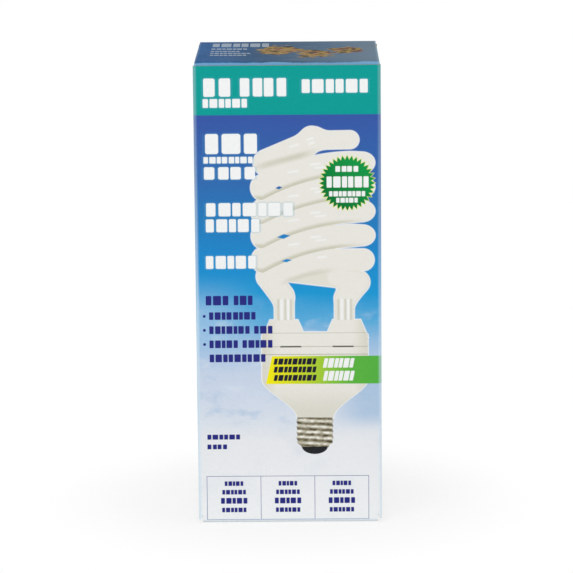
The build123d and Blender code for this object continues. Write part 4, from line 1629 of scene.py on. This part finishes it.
# %% Wire and sleeve
def enamelled_copper():
    """Close turns of enamelled wire: rounded ridges up the coil, each a shade apart, and painted
    shade between the turns.
    """
    paint = Paint("enamelled_copper")
    z = paint.object_place()[2]
    wire = 0.45
    turn = paint.math("FRACT", z / wire)
    ridge = paint.math("SINE", turn * pi)
    which = paint.noise(paint.vector(0.0, 0.0, z), 2.0, 0.0)
    colour = paint.gradient(which, [(0.3, srgb(122, 58, 26)), (0.7, srgb(176, 92, 42))])
    # Painted shade in the crevices between the turns, where the ridge falls away.
    colour = paint.over(colour, paint.ramp(0.45, 0.0, ridge) * 0.8, srgb(52, 24, 12))
    return paint.finish(colour, 0.28, ridge, 0.00015, metallic=0.75)


def black_sleeve():
    """Shrunk sleeve on a can: black, a pale stripe with dashes down one side, fine wrinkles."""
    paint = Paint("black_sleeve")
    x, y, z = paint.object_place()
    place = paint.vector(x, y, z)
    wrinkle = paint.noise(paint.vector(x, y, z * 0.25), 0.9, 3.0)
    colour = paint.gradient(wrinkle, [(0.3, srgb(24, 25, 30)), (0.7, srgb(40, 41, 48))])
    stripe = paint.ramp(2.2, 1.9, abs(x - 11.0)) * paint.ramp(-11.0, -12.0, y)
    colour = paint.over(colour, stripe, srgb(196, 198, 202))
    dash = (abs(paint.math("FRACT", z / 6.0) - 0.5) * 6.0 - 1.5).most(abs(x - 11.0) - 0.4).inside()
    colour = paint.over(colour, dash * stripe, srgb(40, 41, 48))
    rim = paint.ramp(41.4, 40.9, z)
    colour = paint.over(colour, rim, srgb(150, 152, 155))
    return paint.finish(colour, paint.noise(place, 0.3) * 0.2 + 0.25, wrinkle, 0.0001)


finishes.update(choke_coil=enamelled_copper(), bulk_capacitor=black_sleeve())
print("So far:", len(finishes), "parts")

# %% Resin
def film_resin():
    """Dipped epoxy: a thick glossy red-brown skin, a little lumpy."""
    paint = Paint("film_resin")
    x, y, z = paint.object_place()
    lumps = paint.noise(paint.vector(x, y, z), 0.35, 2.0)
    colour = paint.gradient(lumps, [(0.3, srgb(116, 36, 24)), (0.7, srgb(158, 62, 38))])
    return paint.finish(colour, lumps * 0.12 + 0.16, lumps, 0.0005, coat_weight=0.4)


def package_black():
    """Transistor packages: matt black resin above a tinned tab, which starts lower down."""
    paint = Paint("package_black")
    x, y, z = paint.object_place()
    grain = paint.noise(paint.vector(x, y, z), 3.5, 3.0, 0.6)
    colour = paint.gradient(grain, [(0.3, srgb(26, 26, 28)), (0.7, srgb(46, 46, 50))])
    tab = paint.ramp(55.8, 55.6, z)
    colour = paint.over(colour, tab, srgb(176, 176, 172))
    made = paint.finish(colour, grain * 0.25 + 0.45 - tab * 0.25, grain, 0.00008)
    paint.feed(paint.surface.inputs["Metallic"], tab)
    return made


finishes.update(film_capacitors=film_resin(), transistors=package_black())
print("So far:", sorted(finishes))

# %% Ceramic, glass and tin
def grained(name, stops, lump, fine, roughness, depth, **surface):
    """A plain stuff told by its colours over soft lumps, a fine grain and a gloss."""
    paint = Paint(name)
    x, y, z = paint.object_place()
    place = paint.vector(x, y, z)
    lumps, grain = paint.noise(place, lump, 3.0, 0.6), paint.noise(place, fine, 2.0)
    colour = paint.gradient(lumps * 0.7 + grain * 0.3, stops)
    return paint.finish(colour, grain * 0.2 + roughness, lumps + grain * 0.4, depth, **surface)


fuse_ceramic = grained(
    "fuse_ceramic", [(0.35, srgb(206, 192, 160)), (0.65, srgb(226, 214, 186))],
    0.4, 5.0, 0.3, 0.0001)
black_insulator = grained(
    "black_insulator", [(0.35, srgb(16, 17, 20)), (0.65, srgb(36, 38, 44))],
    0.3, 2.5, 0.08, 0.0002, coat_weight=0.4)
contact_metal = grained(
    "contact_metal", [(0.35, srgb(150, 132, 96)), (0.65, srgb(198, 190, 172))],
    0.5, 4.0, 0.28, 0.00025, metallic=1.0)
tinned_wire = grained(
    "tinned_wire", [(0.35, srgb(168, 168, 166)), (0.65, srgb(208, 208, 205))],
    0.8, 6.0, 0.2, 0.0001, metallic=1.0)
finishes.update(fuse=fuse_ceramic, insulator=black_insulator, centre_contact=contact_metal,
                filament_leads=tinned_wire, live_lead=tinned_wire, neutral_lead=tinned_wire)
for node, finish in finishes.items():
    for slot in bpy.data.objects[node].material_slots:
        slot.material = finish
print("Solid parts with a finish:", len(finishes))
